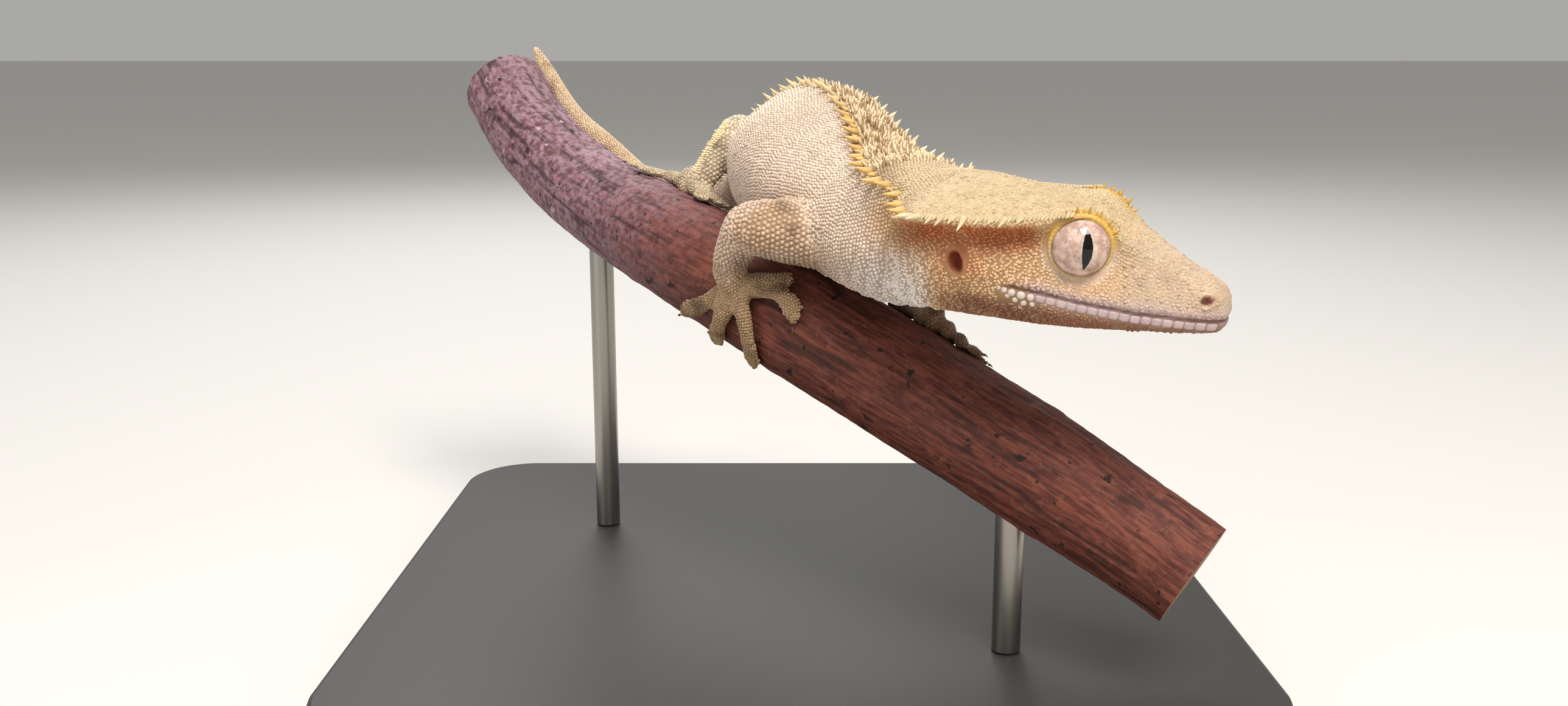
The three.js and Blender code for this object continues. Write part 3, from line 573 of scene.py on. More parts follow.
def splitQuads(at, quads, chosen):
    # the chosen four-sided faces become four each; neighbours get the new points too, as fans, so nothing opens
    n = len(at)
    picked = quads[chosen]
    edges = np.vstack([picked[:, [k, (k + 1) % 4]] for k in range(4)])
    keys, where = np.unique(np.sort(edges, 1), axis=0, return_inverse=True)
    where = where.reshape(4, -1).T
    middles = at[keys].mean(1)
    hearts = at[picked].mean(1)
    heart = n + len(keys) + np.arange(len(picked))
    mid = n + where
    small = np.vstack([np.stack([picked[:, k], mid[:, k], heart, mid[:, (k + 3) % 4]], 1) for k in range(4)])
    found = {tuple(k): n + i for i, k in enumerate(keys.tolist())}
    rest, fans = [], []
    for face in quads[~chosen].tolist():
        ring = []
        for k in range(4):
            ring.append(face[k])
            extra = found.get((min(face[k], face[(k + 1) % 4]), max(face[k], face[(k + 1) % 4])))
            if extra is not None:
                ring.append(extra)
        if len(ring) == 4:
            rest.append(face)
        else:
            fans.append(ring)
    return np.vstack([at, middles, hearts]), np.vstack([small, np.array(rest, dtype=int).reshape(-1, 4)]), fans


def trianglesOf(quads, fans=()):
    made = [quads[:, [0, 1, 2]], quads[:, [0, 2, 3]]]
    extra = [(ring[0], ring[k], ring[k + 1]) for ring in fans for k in range(1, len(ring) - 1)]
    return np.vstack(made + ([np.array(extra)] if extra else []))


inHead = toHead(skinAt)
nearHead = (inHead > [-17.5, -12, -9.5]).all(1) & (inHead < [20, 12, 11]).all(1)
skinAt, quads, fans = splitQuads(skinAt, quads, nearHead[quads].all(1))
skinFaces = trianglesOf(quads, fans)
pairs = pairsOf(skinFaces)
print("skin with a finer head:", len(skinAt), "points", len(skinFaces), "faces")


def normalsOf(at, faces):
    flat = np.cross(at[faces[:, 1]] - at[faces[:, 0]], at[faces[:, 2]] - at[faces[:, 0]])
    return unit(np.stack([sum(np.bincount(face, flat[:, j], len(at)) for face in faces.T) for j in range(3)], 1))


earTurn = turnAbout(1, -18)  # the ear slopes back


def carveHead(at, out):
    # along the normal: mouth groove, lip roll, nostril pits, ear cups; round the eyes towards a socket
    p = toHead(at)
    x, y, z = p.T
    here = ease(-17.5, -16, x) * (np.abs(y) < 12) * (z > -9.5)
    line = z - mouthHeight(x)
    push = -0.32 * hump(line, 0.17) + 0.14 * hump(line - 0.75, 0.5) + 0.1 * hump(line + 0.7, 0.5)
    push *= ease(-8.4, -6.6, x)
    for side in (1, -1):
        away = np.linalg.norm((p - mirrored(headShape["nostril"], side)) / [0.65, 1.0, 0.55], axis=1)
        push += 0.2 * hump(away - 1.35, 0.5) - 1.0 * ease(1.05, 0.55, away)
        away = np.linalg.norm((p - mirrored(headShape["ear"], side)) @ earTurn / [0.85, 2.2, 1.5], axis=1)
        push += -1.5 * ease(1.0, 0.7, away) - 0.4 * hump(away, 2.4) + 0.12 * hump(away - 1.35, 0.25)
    push += 0.12 * (cloud(p, 2.6, 5) - 0.5) + 0.1 * (cloud(p, 1.1, 6) - 0.5)
    at = at + out * (push * here)[:, None]
    for side in (1, -1):
        depth, far = fromEye(at, side)
        ball = np.sqrt(np.clip(headShape["eyeRadius"] ** 2 - far ** 2, 0.2, None))
        share = (1 - ease(3.15, 3.5, far)) * ease(0.3, 0.8, depth) * (depth < 6)
        collar = hump(far - 3.9, 0.5) * (depth > -0.2) * (depth < 6) * (far > 3.2)
        lift = share * (np.minimum(depth, ball - 1.1) - depth) + collar * (1.25 - depth) * 0.55
        at = at + eyeFrame(side)[1] * lift[:, None]
    return at


skinAt = carveHead(skinAt, normalsOf(skinAt, skinFaces))


def foldBody(at, out):
    # low folds: rings round the neck behind the jaw, and ripples on the flank by the hind leg
    p = toHead(at)
    neck = ease(-15, -19, p[:, 0]) * ease(-36, -24, p[:, 0]) * ease(2, -6, p[:, 2])
    push = 0.28 * np.sin(p[:, 0] * 2.6 + 1.2 * np.sin(p[:, 2] * 0.5)) * neck
    t = at[:, 0] * 0.27 - at[:, 1] * 0.96
    flank = hump(at[:, 1] - 4, 6) * (at[:, 2] < 73) * (at[:, 2] > 58) * (at[:, 0] < 3)
    push += 0.3 * np.sin(t * 2.4 + 0.4 * at[:, 2] + 2 * cloud(at, 5, 31)) * flank
    return at + out * (push - 0.05)[:, None]


skinAt = foldBody(skinAt, normalsOf(skinAt, skinFaces))
skinOut = normalsOf(skinAt, skinFaces)
tree = BVHTree.FromPolygons([Vector(p) for p in skinAt.tolist()], skinFaces.tolist(), all_triangles=True)
print("skin carved")


# markings: one colour for each place on the body, read by the skin and by every scale on it
tones = {name: tone(*colour) for name, colour in {
    "flank": (0.88, 0.80, 0.71), "flankPink": (0.88, 0.79, 0.72), "belly": (0.84, 0.75, 0.68),
    "back": (0.56, 0.43, 0.29), "backPale": (0.89, 0.80, 0.64), "arm": (0.78, 0.66, 0.54),
    "armDark": (0.38, 0.25, 0.17), "hand": (0.69, 0.57, 0.43), "handDark": (0.40, 0.29, 0.20),
    "crown": (0.765, 0.675, 0.52), "snout": (0.765, 0.68, 0.59), "lip": (0.76, 0.67, 0.67),
    "cheek": (0.82, 0.67, 0.50), "hollowShade": (0.68, 0.37, 0.17), "throat": (0.53, 0.34, 0.25),
    "neck": (0.88, 0.81, 0.76), "stripe": (0.91, 0.83, 0.66), "crest": (0.86, 0.67, 0.35),
    "leg": (0.83, 0.78, 0.66), "tail": (0.85, 0.74, 0.60), "tailDark": (0.64, 0.47, 0.33),
    "ear": (0.62, 0.13, 0.07), "mouth": (0.46, 0.30, 0.28), "nostril": (0.60, 0.10, 0.07),
    "lid": (0.81, 0.64, 0.30), "shade": (0.36, 0.23, 0.15), "earHollow": (0.82, 0.54, 0.34),
    "white": (0.93, 0.89, 0.86),
}.items()}


def toward(colour, other, share):
    other = tones[other] if isinstance(other, str) else other
    return colour + (other - colour) * np.clip(share + np.zeros(len(colour)), 0, 1)[:, None]


def layered(colour, *layers):
    # each layer is a tone or colour, and how far each place goes towards it
    colour = tones[colour] + np.zeros((len(layers[0][1]), 3)) if isinstance(colour, str) else colour
    for other, share in layers:
        colour = toward(colour, other, share)
    return colour


def nearestFar(at, points):
    book = KDTree(len(points))
    for i, p in enumerate(points.tolist()):
        book.insert(p, i)
    book.balance()
    return np.array([book.find(p)[2] for p in at.tolist()])


def partWeights(at):
    # how near each place is to the trunk, head, tail and limb surfaces, as shares that add up to one
    groups = {"trunk": ["trunk"], "head": ["head", "browLeft", "browRight"], "tail": ["tail"]}
    for limb in limbShape:
        groups[limb] = [limb + "Upper", limb + "Lower"]
        groups[limb + "Hand"] = [n for n in fleshParts if n.startswith(limb) and n not in groups[limb]]
    counts = lambda name: (60, 40) if name in ("trunk", "head") else (40, 14)
    dense = lambda name: grid(*counts(name), fleshParts[name]).reshape(-1, 3)
    far = [nearestFar(at, np.vstack([dense(name) for name in names])) for names in groups.values()]
    near = np.exp(-np.clip(np.array(far), 0, 12) / 0.55)
    return dict(zip(groups, near / near.sum(0)))


def crownShare(p):
    # 1 on top of the head, 0 on its sides
    return ease(1.2, 3.4, p[:, 2] - np.interp(p[:, 0], [-20, -4, 4, 12, 18], [1.5, 3.0, 0.8, -2.0, -3.8]))


def bodyColour(at):
    w = partWeights(at)
    p = toHead(at)
    x, y, z = p.T
    size, base, ahead, left, up = trunkFrame(np.interp(at[:, 1], *trunkRun))
    across, over = ((at - base) * left).sum(1), ((at - base) * up).sum(1)
    blotch, speck, fleck = cloud(at, 5.5, 11), cloud(at, 1.5, 12), cloud(at, 0.7, 13)
    # trunk: brown back between the two crests, pinkish beige flanks, pale belly
    back = ease(1.05, 0.85, np.abs(across) / size[:, 6]) * (over > 0)
    colour = layered(
        "flank", ("flankPink", ease(0.42, 0.7, blotch)), ("belly", ease(0.1, -0.75, over / size[:, 5]) * 0.7),
        ("back", back), ("backPale", back * ease(0.45, 0.62, speck) * 0.9),
        ("white", ease(-17, -20, x) * ease(-34, -26, x) * ease(-4, -7, z) * 0.8),
        ("arm", hump(at[:, 2] - 57, 4) * hump(at[:, 1] + 20, 14) * 0.45))
    # head
    under, line = headSize(x)[:, 3] - 0.7 - z, z - mouthHeight(x)
    earFar = np.linalg.norm((p * [1, 0, 1] - [-13.6, 0, -0.4]) / [2.9, 1, 2.4], axis=1)
    head = layered(
        "cheek", ("crown", crownShare(p)), ("snout", ease(2, 8, x) * 0.75),
        # the hollow under the crest's edge: its own orange-brown, darkened by a painted shadow of the crest
        ("hollowShade", ease(-0.4, 0.5, under) * ease(4.6, 2.0, under) * ease(-3.2, -6, x) * ease(-24, -20, x) * 0.95),
        ("lip", hump(line + 0.1, 1.25) * ease(-8, -3, x)),
        # painted shade: the jaw's underside and the lower head darker below the mouth's line and towards the
        # bottom
        ("throat", ease(-0.9, -2.6, line) * 0.85 * ease(-17, -11, x)),
        ("throat", ease(-3.6, -6.5, z) * ease(-20, -12, x) * 0.7),
        ("neck", ease(-15.5, -19.5, x) * ease(0.5, -3.5, z)),
        ("white", ease(-16.5, -19.5, x) * ease(-3.5, -6.0, z)),
        ("earHollow", hump(earFar, 1) * (np.abs(y) > 5) * 0.95),
        (tones["crown"] * 1.1, ease(0.56, 0.74, speck) * 0.2), ("throat", ease(0.42, 0.28, speck) * 0.1))
    colour = toward(colour, head, w["head"] + ease(-30, -24, x) * w["trunk"])
    # limbs, hands and tail
    patchy = ease(0.48, 0.7, speck * 0.6 + blotch * 0.4) * 0.75
    for limb in limbShape:
        flesh = layered(limb[:3], ("armDark", ease(0.5, 0.72, blotch * 0.5 + speck * 0.5) * 0.7),
                        ("flankPink", ease(0.5, 0.3, blotch) * 0.5))
        paw = layered("hand", ("handDark", patchy))
        if limb == "armRight":
            flesh = toward(flesh, "shade", ease(61.5, 57.5, at[:, 2]) * ease(-9.6, -8.0, at[:, 0]) * 0.7)
        if limb == "armLeft":
            paw = toward(paw, "shade", 0.6)
        if limb.startswith("leg"):
            paw = toward(paw, "leg", 0.5)
        colour = layered(colour, (flesh, w[limb] * 1.15), (paw, w[limb + "Hand"] * 1.1))
    tail = layered("tail", ("tailDark", ease(0.5, 0.72, speck * 0.6 + blotch * 0.4) * 0.8))
    colour = toward(colour, tail, w["tail"] * 1.1)
    # openings
    for side in (1, -1):
        earFar = np.linalg.norm((p - mirrored(headShape["ear"], side)) @ earTurn / [0.85, 2.6, 1.5], axis=1)
        nostrilFar = np.linalg.norm((p - mirrored(headShape["nostril"], side)) / [0.65, 1.2, 0.6], axis=1)
        depth, far = fromEye(at, side)
        seen, high = ease(-0.2, 0.5, depth), z - headShape["eyeAt"][2]
        colour = layered(
            colour, ("ear", ease(1.02, 0.84, earFar)), ("nostril", ease(1.15, 0.75, nostrilFar)),
            ("lid", ease(4.9, 4.1, far) * seen * ease(-1, 1.5, high) * 0.6),
            ("belly", ease(5.0, 4.1, far) * seen * ease(1, -1.5, high) * 0.6),
            # painted shade in the crease where the skin meets the eyeball
            (tones["ear"] * 0.5, ease(3.5, 3.2, far) * seen))
    colour = toward(colour, "mouth", hump(line, 0.17) * ease(-8.4, -6.6, x) * (w["head"] > 0.4))
    return colour * (0.88 + 0.24 * fleck)[:, None]


spine = rows(trunkShape["stations"], np.linspace(0, 1, 60))
trunkRun = (spine[:, 1], np.linspace(0, 1, 60))
skinColour = spread(bodyColour(skinAt), pairs, 1, 0.4)
print("markings done")


# scales: small domes set in rings on each part, dropped where they fall inside another part
coatShape = {
    # spacing, share of the spacing that a scale covers, height, slot of the part
    "trunk": [0.52, 1.04, 0.14, "skin_body"], "head": [0.42, 1.04, 0.08, "skin_head"],
    "tail": [0.52, 1.04, 0.13, "skin_tail"], "Upper": [0.76, 1.0, 0.24, "skin_leg"],
    "Lower": [0.68, 1.0, 0.21, "skin_leg"], "Palm": [0.52, 1.0, 0.15, "skin_leg"],
    "Digit": [0.45, 1.0, 0.12, "skin_leg"], "brow": [0.42, 1.04, 0.06, "skin_head"],
}


def ringPlaces(shape, spacing):
    # rings of points at equal steps along the part and round it, every other ring shifted by half a step
    spineAt = grid(160, 24, shape).mean(1)
    run = np.concatenate([[0], np.cumsum(np.linalg.norm(np.diff(spineAt, axis=0), axis=1))])
    count = max(3, int(run[-1] / (spacing * 0.87)))
    ts = np.interp((np.arange(count) + 0.5) / count * run[-1], run, np.linspace(0, 1, 160))
    us = np.arange(73) / 72
    ring = shape(*np.meshgrid(ts, us, indexing="ij"))
    steps = np.cumsum(np.linalg.norm(np.diff(ring, axis=1), axis=2), axis=1)
    steps = np.concatenate([np.zeros((count, 1)), steps], 1)
    found = []
    for k in range(count):
        around = int(steps[k, -1] / spacing)
        if around < 3:
            continue
        shift = 0.5 * (k % 2) + rng.uniform(-0.15, 0.15)
        places = (np.arange(around) + shift + rng.uniform(-0.13, 0.13, around)) / around * steps[k, -1]
        t = np.full(around, ts[k]) + rng.uniform(-0.15, 0.15, around) * (ts[1] - ts[0])
        found.append(np.stack([t, np.interp(places, steps[k], us)], 1))
    return np.vstack(found)


def onSkin(at, reach):
    # nearest place on the skin, its normal and the face there
    hit = [tree.find_nearest(Vector(p), reach) for p in at.tolist()]
    good = np.array([h[0] is not None for h in hit])
    placed = np.array([h[0][:] if h[0] is not None else (0, 0, 0) for h in hit])
    face = np.array([h[2] if h[2] is not None else 0 for h in hit])
    return good, placed, face


def ringFaces(rings, sides):
    # the wall, the tip and the foot of a dome or a cone
    k = np.arange(sides)
    n = (k + 1) % sides
    starts = [ring * sides for ring in range(rings - 1)]
    wall = [np.stack([r + k, r + n, r + sides + n], 1) for r in starts]
    wall += [np.stack([r + k, r + sides + n, r + sides + k], 1) for r in starts]
    last = (rings - 1) * sides
    tip = np.stack([last + k, last + n, np.full(sides, rings * sides)], 1)
    return np.vstack([*wall, tip, [[0, j + 1, j] for j in range(1, sides - 1)]])


def copies(points, faces, colour, shade, root, turn, reach):
    # every copy's points, faces, colour, and its patch of 0.003 on the flat sheet at the copy's root
    count, size = points.shape[:2]
    patch = np.tile(np.stack([np.cos(turn), np.sin(turn)], 1), (len(reach), 1))
    patch = patch * 0.0015 * np.repeat(reach, len(turn))[:, None]
    return (points.reshape(-1, 3), (faces[None] + (np.arange(count) * size)[:, None, None]).reshape(-1, 3),
            (colour[:, None] * shade[None, :, None]).reshape(-1, 3),
            (root[:, None] + np.vstack([patch, [0, 0]])[None]).reshape(-1, 2))


def domes(at, out, ahead, long, wide, tall, colour, root, sides=5, profile=((1, -0.5), (0.86, 0.35), (0.48, 0.86)),
          rim=0.58, square=1.0):
    # each dome: rings of the given sides at (share of radius, share of height), a point on top, a flat foot; its
    # colour has painted shade at the foot ring and a painted highlight at the top
    turn = 2 * np.pi * (np.arange(sides) + 0.5) / sides
    swing, rise = (np.sign(f(turn)) * np.abs(f(turn)) ** square for f in (np.cos, np.sin))
    across = np.cross(out, ahead)
    flat = (ahead[:, None] * (long[:, None] * swing)[..., None]
            + across[:, None] * (wide[:, None] * rise)[..., None])
    loops = [at[:, None] + out[:, None] * (tall * height)[:, None, None] + share * flat
             for share, height in profile]
    points = np.concatenate(loops + [(at + out * tall[:, None])[:, None]], 1)
    rings = len(profile)
    shade = np.concatenate([np.full(sides, rim), np.repeat(0.9 + 0.1 * np.arange(rings - 1), sides), [1.06]])
    return copies(points, ringFaces(rings, sides), colour, shade, root, turn, [share for share, height in profile])


def cones(foot, way, bend, long, radius, colour, root=None, sides=7, rings=5):
    # cone along foot + way s + bend s^2, radius falling as (1 - s)^0.8 and closed at the tip
    s = np.linspace(0, 1, rings + 1)[:-1]
    turn = circle(sides)
    side = unit(np.cross(way, bend + [1e-4, 2e-4, 3e-4]))
    over = np.cross(way, side)
    middle = (foot[:, None] + way[:, None] * (s * long[:, None])[..., None]
              + bend[:, None] * (s ** 2 * long[:, None])[..., None])
    width = (radius[:, None] * (1 - s) ** 0.8)[..., None]
    ring = (middle[:, :, None] + side[:, None, None] * (width * np.cos(turn))[..., None]
            + over[:, None, None] * (width * np.sin(turn))[..., None])
    points = np.concatenate([ring.reshape(len(foot), -1, 3), (foot + (way + bend) * long[:, None])[:, None]], 1)
    faces = outward(points[0], ringFaces(rings, sides), foot[0])
    # painted shade towards the foot and a painted highlight towards the tip
    shade = np.concatenate([np.repeat(np.linspace(0.8, 1.1, rings), sides), [1.12]])
    root = np.full((len(foot), 2), 0.5) if root is None else root
    return copies(points, faces, colour, shade, root, turn, 1 - s)


def sheetPlace(name, tu):
    # place on the flat sheet, where every part has its own rectangle: head and trunk large, the rest in rows
    k = list(fleshParts).index(name)
    corner = (0.01 + 0.5 * k, 0.52) if k < 2 else (0.01 + 0.098 * ((k - 2) % 10), 0.01 + 0.125 * ((k - 2) // 10))
    return np.array(corner) + tu * ((0.48, 0.46) if k < 2 else (0.09, 0.115))


def headSheet(x, u):
    # place on the sheet of the head's rectangle, from the place along the head
    return sheetPlace("head", np.stack([(17.4 - x) / 40.8, np.full(len(x), u)], 1))


def drawnTo(limit, *arrays):
    return [a[limit] for a in arrays]


def clearOfOpenings(at):
    # true where scales may sit: not in the eye, ear, nostril or mouth groove
    p = toHead(at)
    x, y, z = p.T
    keep = np.linalg.norm((p * [1, 0, 1] - [-13.7, 0, -0.8]) / [1.6, 1, 2.1], axis=1) > 1
    for side in (1, -1):
        for centre, size in ((headShape["ear"], [1.0, 2.4, 1.5]), (headShape["nostril"], [0.62, 0.9, 0.5])):
            keep &= np.linalg.norm((p - mirrored(centre, side)) / size, axis=1) > 1.25
        depth, far = fromEye(at, side)
        keep &= ~((far < 4.15) & (depth > 0.5))
    # the groove, the lower lip's plates and the scales at the corner of the mouth: from, to, lowest, highest
    for back, front, low, high in ((-8, 20, -0.22, 0.22), (-4.2, 20, -1.3, -0.1), (-8.4, -4.2, -2.2, -0.15)):
        line = z - mouthHeight(x)
        keep &= ~((line > low) & (line < high) & (x > back) & (x <= front) & (np.abs(y) < 11))
    return keep


coat, backCones = [], []
for name, shape in fleshParts.items():
    spacing, cover, height, slotName = next(row for key, row in coatShape.items() if key in name)
    tu = ringPlaces(shape, spacing)
    ideal = shape(tu[:, 0], tu[:, 1])
    good, at, face = onSkin(ideal, 1.4)
    gap = np.linalg.norm(at - ideal, axis=1)
    loose = (np.abs(toHead(ideal)[:, 0] + 21) < 2.4) & (name in ("trunk", "head"))  # where the neck meets the head
    good &= gap < np.where(loose, 1.4, 0.35 if "brow" in name else 0.75)
    if name in ("trunk", "head") or "brow" in name:
        good &= clearOfOpenings(at)
    tu, at, face = drawnTo(good, tu, at, face)
    out = unit(skinOut[skinFaces[face]].mean(1))
    ahead = shape(np.minimum(tu[:, 0] + 0.01, 1), tu[:, 1]) - shape(np.maximum(tu[:, 0] - 0.01, 0), tu[:, 1])
    ahead = unit(ahead - out * (ahead * out).sum(1)[:, None] + 1e-9)
    colour = skinColour[skinFaces[face]].mean(1)
    size = spacing * cover / 2 * rng.uniform(0.86, 1.1, len(at))
    tall = height * rng.uniform(0.75, 1.25, len(at))
    if name == "trunk":
        # between the crests half the scales are pointed cones; a few knobs stand on the flanks
        ridge, base, _, left, up = trunkFrame(tu[:, 0])
        between = (((at - base) * up).sum(1) > 0) & (np.abs(((at - base) * left).sum(1)) < ridge[:, 6] * 0.95)
        spiky = between & (rng.random(len(at)) < 0.5) & (tu[:, 0] > 0.12)
        lift = unit(out * 0.85 + ahead * 0.5 + rng.normal(0, 0.14, at.shape))
        brown = rng.random((len(at), 1)) < 0.4
        shade = np.where(brown, tones["back"] * 0.9, tones["backPale"] * 0.8) + colour * 0.2
        long, wide = rng.uniform(0.6, 1.25, len(at)), rng.uniform(0.2, 0.3, len(at))
        backCones.append(cones(*drawnTo(spiky, at - lift * 0.15, lift, ahead * 0.12, long, wide, shade,
                                        sheetPlace(name, tu)), sides=5, rings=3))
        knob = ~between & (rng.random(len(at)) < 0.0014)
        size, tall = np.where(knob, size * 1.6, size), np.where(knob, 0.42, tall)
        colour = np.where(knob[:, None], tones["leg"] * 0.75, colour)
        at, out, ahead, size, tall, colour, tu = drawnTo(~spiky, at, out, ahead, size, tall, colour, tu)
    if name == "head":
        # scales are flatter on the crown and snout, with a few coarse grains among them
        p = toHead(at)
        smooth = np.maximum(crownShare(p), ease(2, 8, p[:, 0]))
        tall = tall * (1.6 - smooth)
        colour = colour * (1 + 0.1 * (1 - smooth))[:, None]
        grain = (rng.random(len(at)) < 0.1) & (smooth > 0.5)
        tall, size = np.where(grain, tall * 3.2, tall), np.where(grain, size * 1.15, size)
    colour = colour * rng.uniform(0.88, 1.12, (len(at), 1))
    # painted shade at each scale's foot, less on the head
    rim = 0.8 if slotName == "skin_head" else 0.64
    coat.append((slotName, domes(at, out, ahead, size * 1.06, size, tall, colour, sheetPlace(name, tu), rim=rim)))


def mergedPieces(parts, limit=180000):
    # parts of one slot are put together until a piece would pass the limit
    groups = []
    for slotName, (v, f, c, uv) in parts:
        for start in range(0, len(f), limit):
            part = f[start:start + limit]
            low, high = part.min(), part.max() + 1
            chunk = (v[low:high], part - low, c[low:high], uv[low:high])
            held = lambda group: sum(len(x[1]) for x in group[1])
            room = next((g for g in groups if g[0] == slotName and held(g) + len(part) < limit), None)
            if room:
                room[1].append(chunk)
            else:
                groups.append((slotName, [chunk]))
    for slotName, chunks in groups:
        yield slotName, *joined(chunks)


print("scales:", sum(len(p[1][1]) for p in coat), "faces")


# one row of plates below the mouth, and a cluster of round scales at its corner
plateShape = {
    "count": 17, "from": -3.4, "to": 15.4, "below": -0.76, "tall": 0.5,
    # at, height from the mouth's line, radius
    "corner": [[-8.3, -0.2, 0.32], [-7.6, -0.5, 0.42], [-6.7, -0.75, 0.5], [-5.6, -0.82, 0.56], [-4.5, -0.8, 0.5],
               [-7.2, -1.25, 0.34], [-6.3, -1.6, 0.4], [-5.3, -1.75, 0.42], [-4.3, -1.65, 0.38],
               [-5.7, -2.4, 0.26]],
}


def plateRow(side, x, z, long, wide, tall, colour, row, **form):
    # plates at (x, z) of the head's own frame, found on the skin straight in from the side; row 1 is a chain
    start = fromHead(np.stack([x, np.full(len(x), side * 14.0), z], 1))
    hits = [tree.ray_cast(Vector(p), Vector(headTurn @ np.array([0, -side, 0.0]))) for p in start.tolist()]
    at = np.array([h[0][:] for h in hits])
    out = unit(skinOut[skinFaces[np.array([h[2] for h in hits])]].mean(1))
    ahead = np.gradient(at, axis=0) if row == 1 else headTurn @ np.array([1.0, 0, 0]) + np.zeros_like(at)
    stretch = np.linalg.norm(ahead, axis=1) if row == 1 else 1
    ahead = unit(ahead - out * (ahead * out).sum(1)[:, None])
    root = headSheet(x, (0.25 if side > 0 else 0.75) + 0.02 * row)
    return "skin_head", domes(at, out, ahead, long * stretch, wide, tall, colour, root, **form)


def lipPlates():
    found = []
    x = np.linspace(plateShape["from"], plateShape["to"], plateShape["count"])
    x2, z2, radius = np.array(plateShape["corner"]).T
    half = plateShape["tall"] * (0.7 + 0.3 * ease(-8, 2, x))
    flat = {"sides": 12, "profile": ((1.0, -0.9), (0.95, 0.5), (0.6, 0.95)), "rim": 0.86, "square": 0.5}
    for side in (1, -1):
        colour = (tones["lip"] * 0.85 + tones["neck"] * 0.15) * (0.97 + 0.08 * rng.random((len(x), 1)))
        found.append(plateRow(side, x, mouthHeight(x) + plateShape["below"], 0.5, half, np.full(len(x), 0.07),
                              colour, 1, **flat))
        found.append(plateRow(side, x2, mouthHeight(x2) + z2, radius, radius, radius * 0.3,
                              np.tile(tones["neck"] * 1.02, (len(x2), 1)), 2, sides=10, rim=0.76))
    return found


coat += lipPlates()


# materials
def fleshMaterial(name, roughness, grainSize):
    # marking colour, mottled a little; fine grain in the bump
    board = Board(name, IOR=1.42)
    place, marking = board.objectPlace(), board.attribute("marking", 0)
    mottle = board.spots(place, 2200, 3, 0.6)
    veil = board.spots(place, 600, 2, 0.5)
    board.feed("Base Color", board.mix(mottle.above(0.35, 0.75) * 0.16, marking, (0.16, 0.08, 0.04)))
    board.feed("Roughness", roughness + 0.22 * veil)
    board.bump(mottle, 0.25, grainSize)
    return board.material


skinPaint = fleshMaterial("skinFlesh", 0.5, 0.00008)
scalePaint = fleshMaterial("scaleHorn", 0.34, 0.00004)
fleshNodes = ["head", "jaw", "neck", "torso", "pelvis", "tail_base", "tail_middle", "tail_tip"]
fleshNodes += [n for limb in limbShape.values() for n in limb["nodes"]]
# between the scales the skin is painted darker and warmer: partly its own orange-brown and partly painted shade in
# the gaps; hardly so on the crown and snout, where the scales are flat
p = toHead(skinAt)
crownHeight = np.interp(p[:, 0], [-20, -4, 4, 12, 18], [2.2, 3.4, 0.8, -2.0, -3.8])
bare = np.maximum(ease(-6, 1, p[:, 0]), ease(0, 1.5, p[:, 2] - crownHeight) * ease(-22, -19, p[:, 0]))
bare *= (np.abs(p[:, 1]) < 12) * (p[:, 2] > -10)
deep = skinColour * 0.42 + skinColour * (tones["cheek"] / tones["cheek"][0]) * 0.18
skinTone = deep + (skinColour - deep) * (0.8 * bare)[:, None]
makePiece("skin", skinAt, skinFaces, skinPaint, fleshNodes, "skin_body", skinTone)
for number, (slotName, v, f, c, uv) in enumerate(mergedPieces(coat)):
    makePiece("scales" + str(number + 1), v, f, scalePaint, (), slotName, c, uv)
print("skin and scales made")


# crest spines and lashes: curved cones, each a few rings
crestShape = {"onNeck": 8, "perSide": 48, "from": 0.092, "to": 0.8, "long": 2.3, "shrink": 1.1, "radius": 0.62}


def backSpines():
    # every other spine of a crest is long; they stand out, up and back
    found = []
    for side in (1, -1):
        count, rightSide = crestShape["perSide"], side > 0
        share = np.linspace(0, 1, count)
        t = crestShape["from"] + (crestShape["to"] - crestShape["from"]) * share
        t = t + rng.uniform(-0.002, 0.002, count)
        size, at, ahead, left, up = trunkFrame(t)
        small = np.arange(count) % 2 == 0
        foot = (at + left * (side * (size[:, 6] + 0.1 * small))[:, None]
                + up * (size[:, 4] - size[:, 7] + rng.uniform(-0.25, 0.25, count))[:, None])
        rise = (0.02 + 0.5 * share if rightSide else 0.75 + 0 * share)[:, None]
        way = unit(left * side * (0.95 if rightSide else 0.55) + up * rise + ahead * (0.3 * share)[:, None]
                   + rng.normal(0, 0.08, (count, 3)))
        long = (crestShape["long"] - crestShape["shrink"] * share) * rng.uniform(0.85, 1.1, count)
        long = long * np.where(small, 0.36, 1.06) * (1 if rightSide else 0.72)
        radius = crestShape["radius"] * (1 - 0.35 * share) * np.where(small, 0.7, 1)
        warm = rightSide * (1 - 0.75 * ease(0.32, 0.5, share))[:, None]
        pale = tones["backPale"] + (tones["crest"] * 0.8 - tones["backPale"] * 0.8) * warm
        found.append(cones(foot - way * 0.4, way, up * 0.1 - ahead * 0.05, long + 0.4, radius,
                           pale * rng.uniform(0.9, 1.12, (count, 1)),
                           sheetPlace("trunk", np.stack([t, np.full(count, 0.5 + side * 0.38)], 1))))
        # the row goes on over the neck to the back end of the head's crest
        end = headSize(np.array([-20.4]))[0]
        end = fromHead([-20.4, -side * end[2], end[3]])
        share = np.linspace(0.02, 0.98, crestShape["onNeck"])[:, None]
        foot = onSkin(foot[0] + (end - foot[0]) * share + left[:1] * side * 0.4 + up[:1] * 0.4, 9)[1]
        small = np.arange(len(foot)) % 2 == 1
        way = unit(left[:1] * side * 0.95 + up[:1] * 0.12 + ahead[:1] * 0.1 + rng.normal(0, 0.07, foot.shape))
        found.append(cones(foot - way * 0.4, way, up[:1] * 0.08 + np.zeros(foot.shape),
                           np.where(small, 0.9, 2.1) + 0.4, np.where(small, 0.4, 0.6),
                           np.tile(pale[0], (len(foot), 1)),
                           sheetPlace("trunk", np.tile([0.06, 0.5 + side * 0.38], (len(foot), 1)))))
    return found


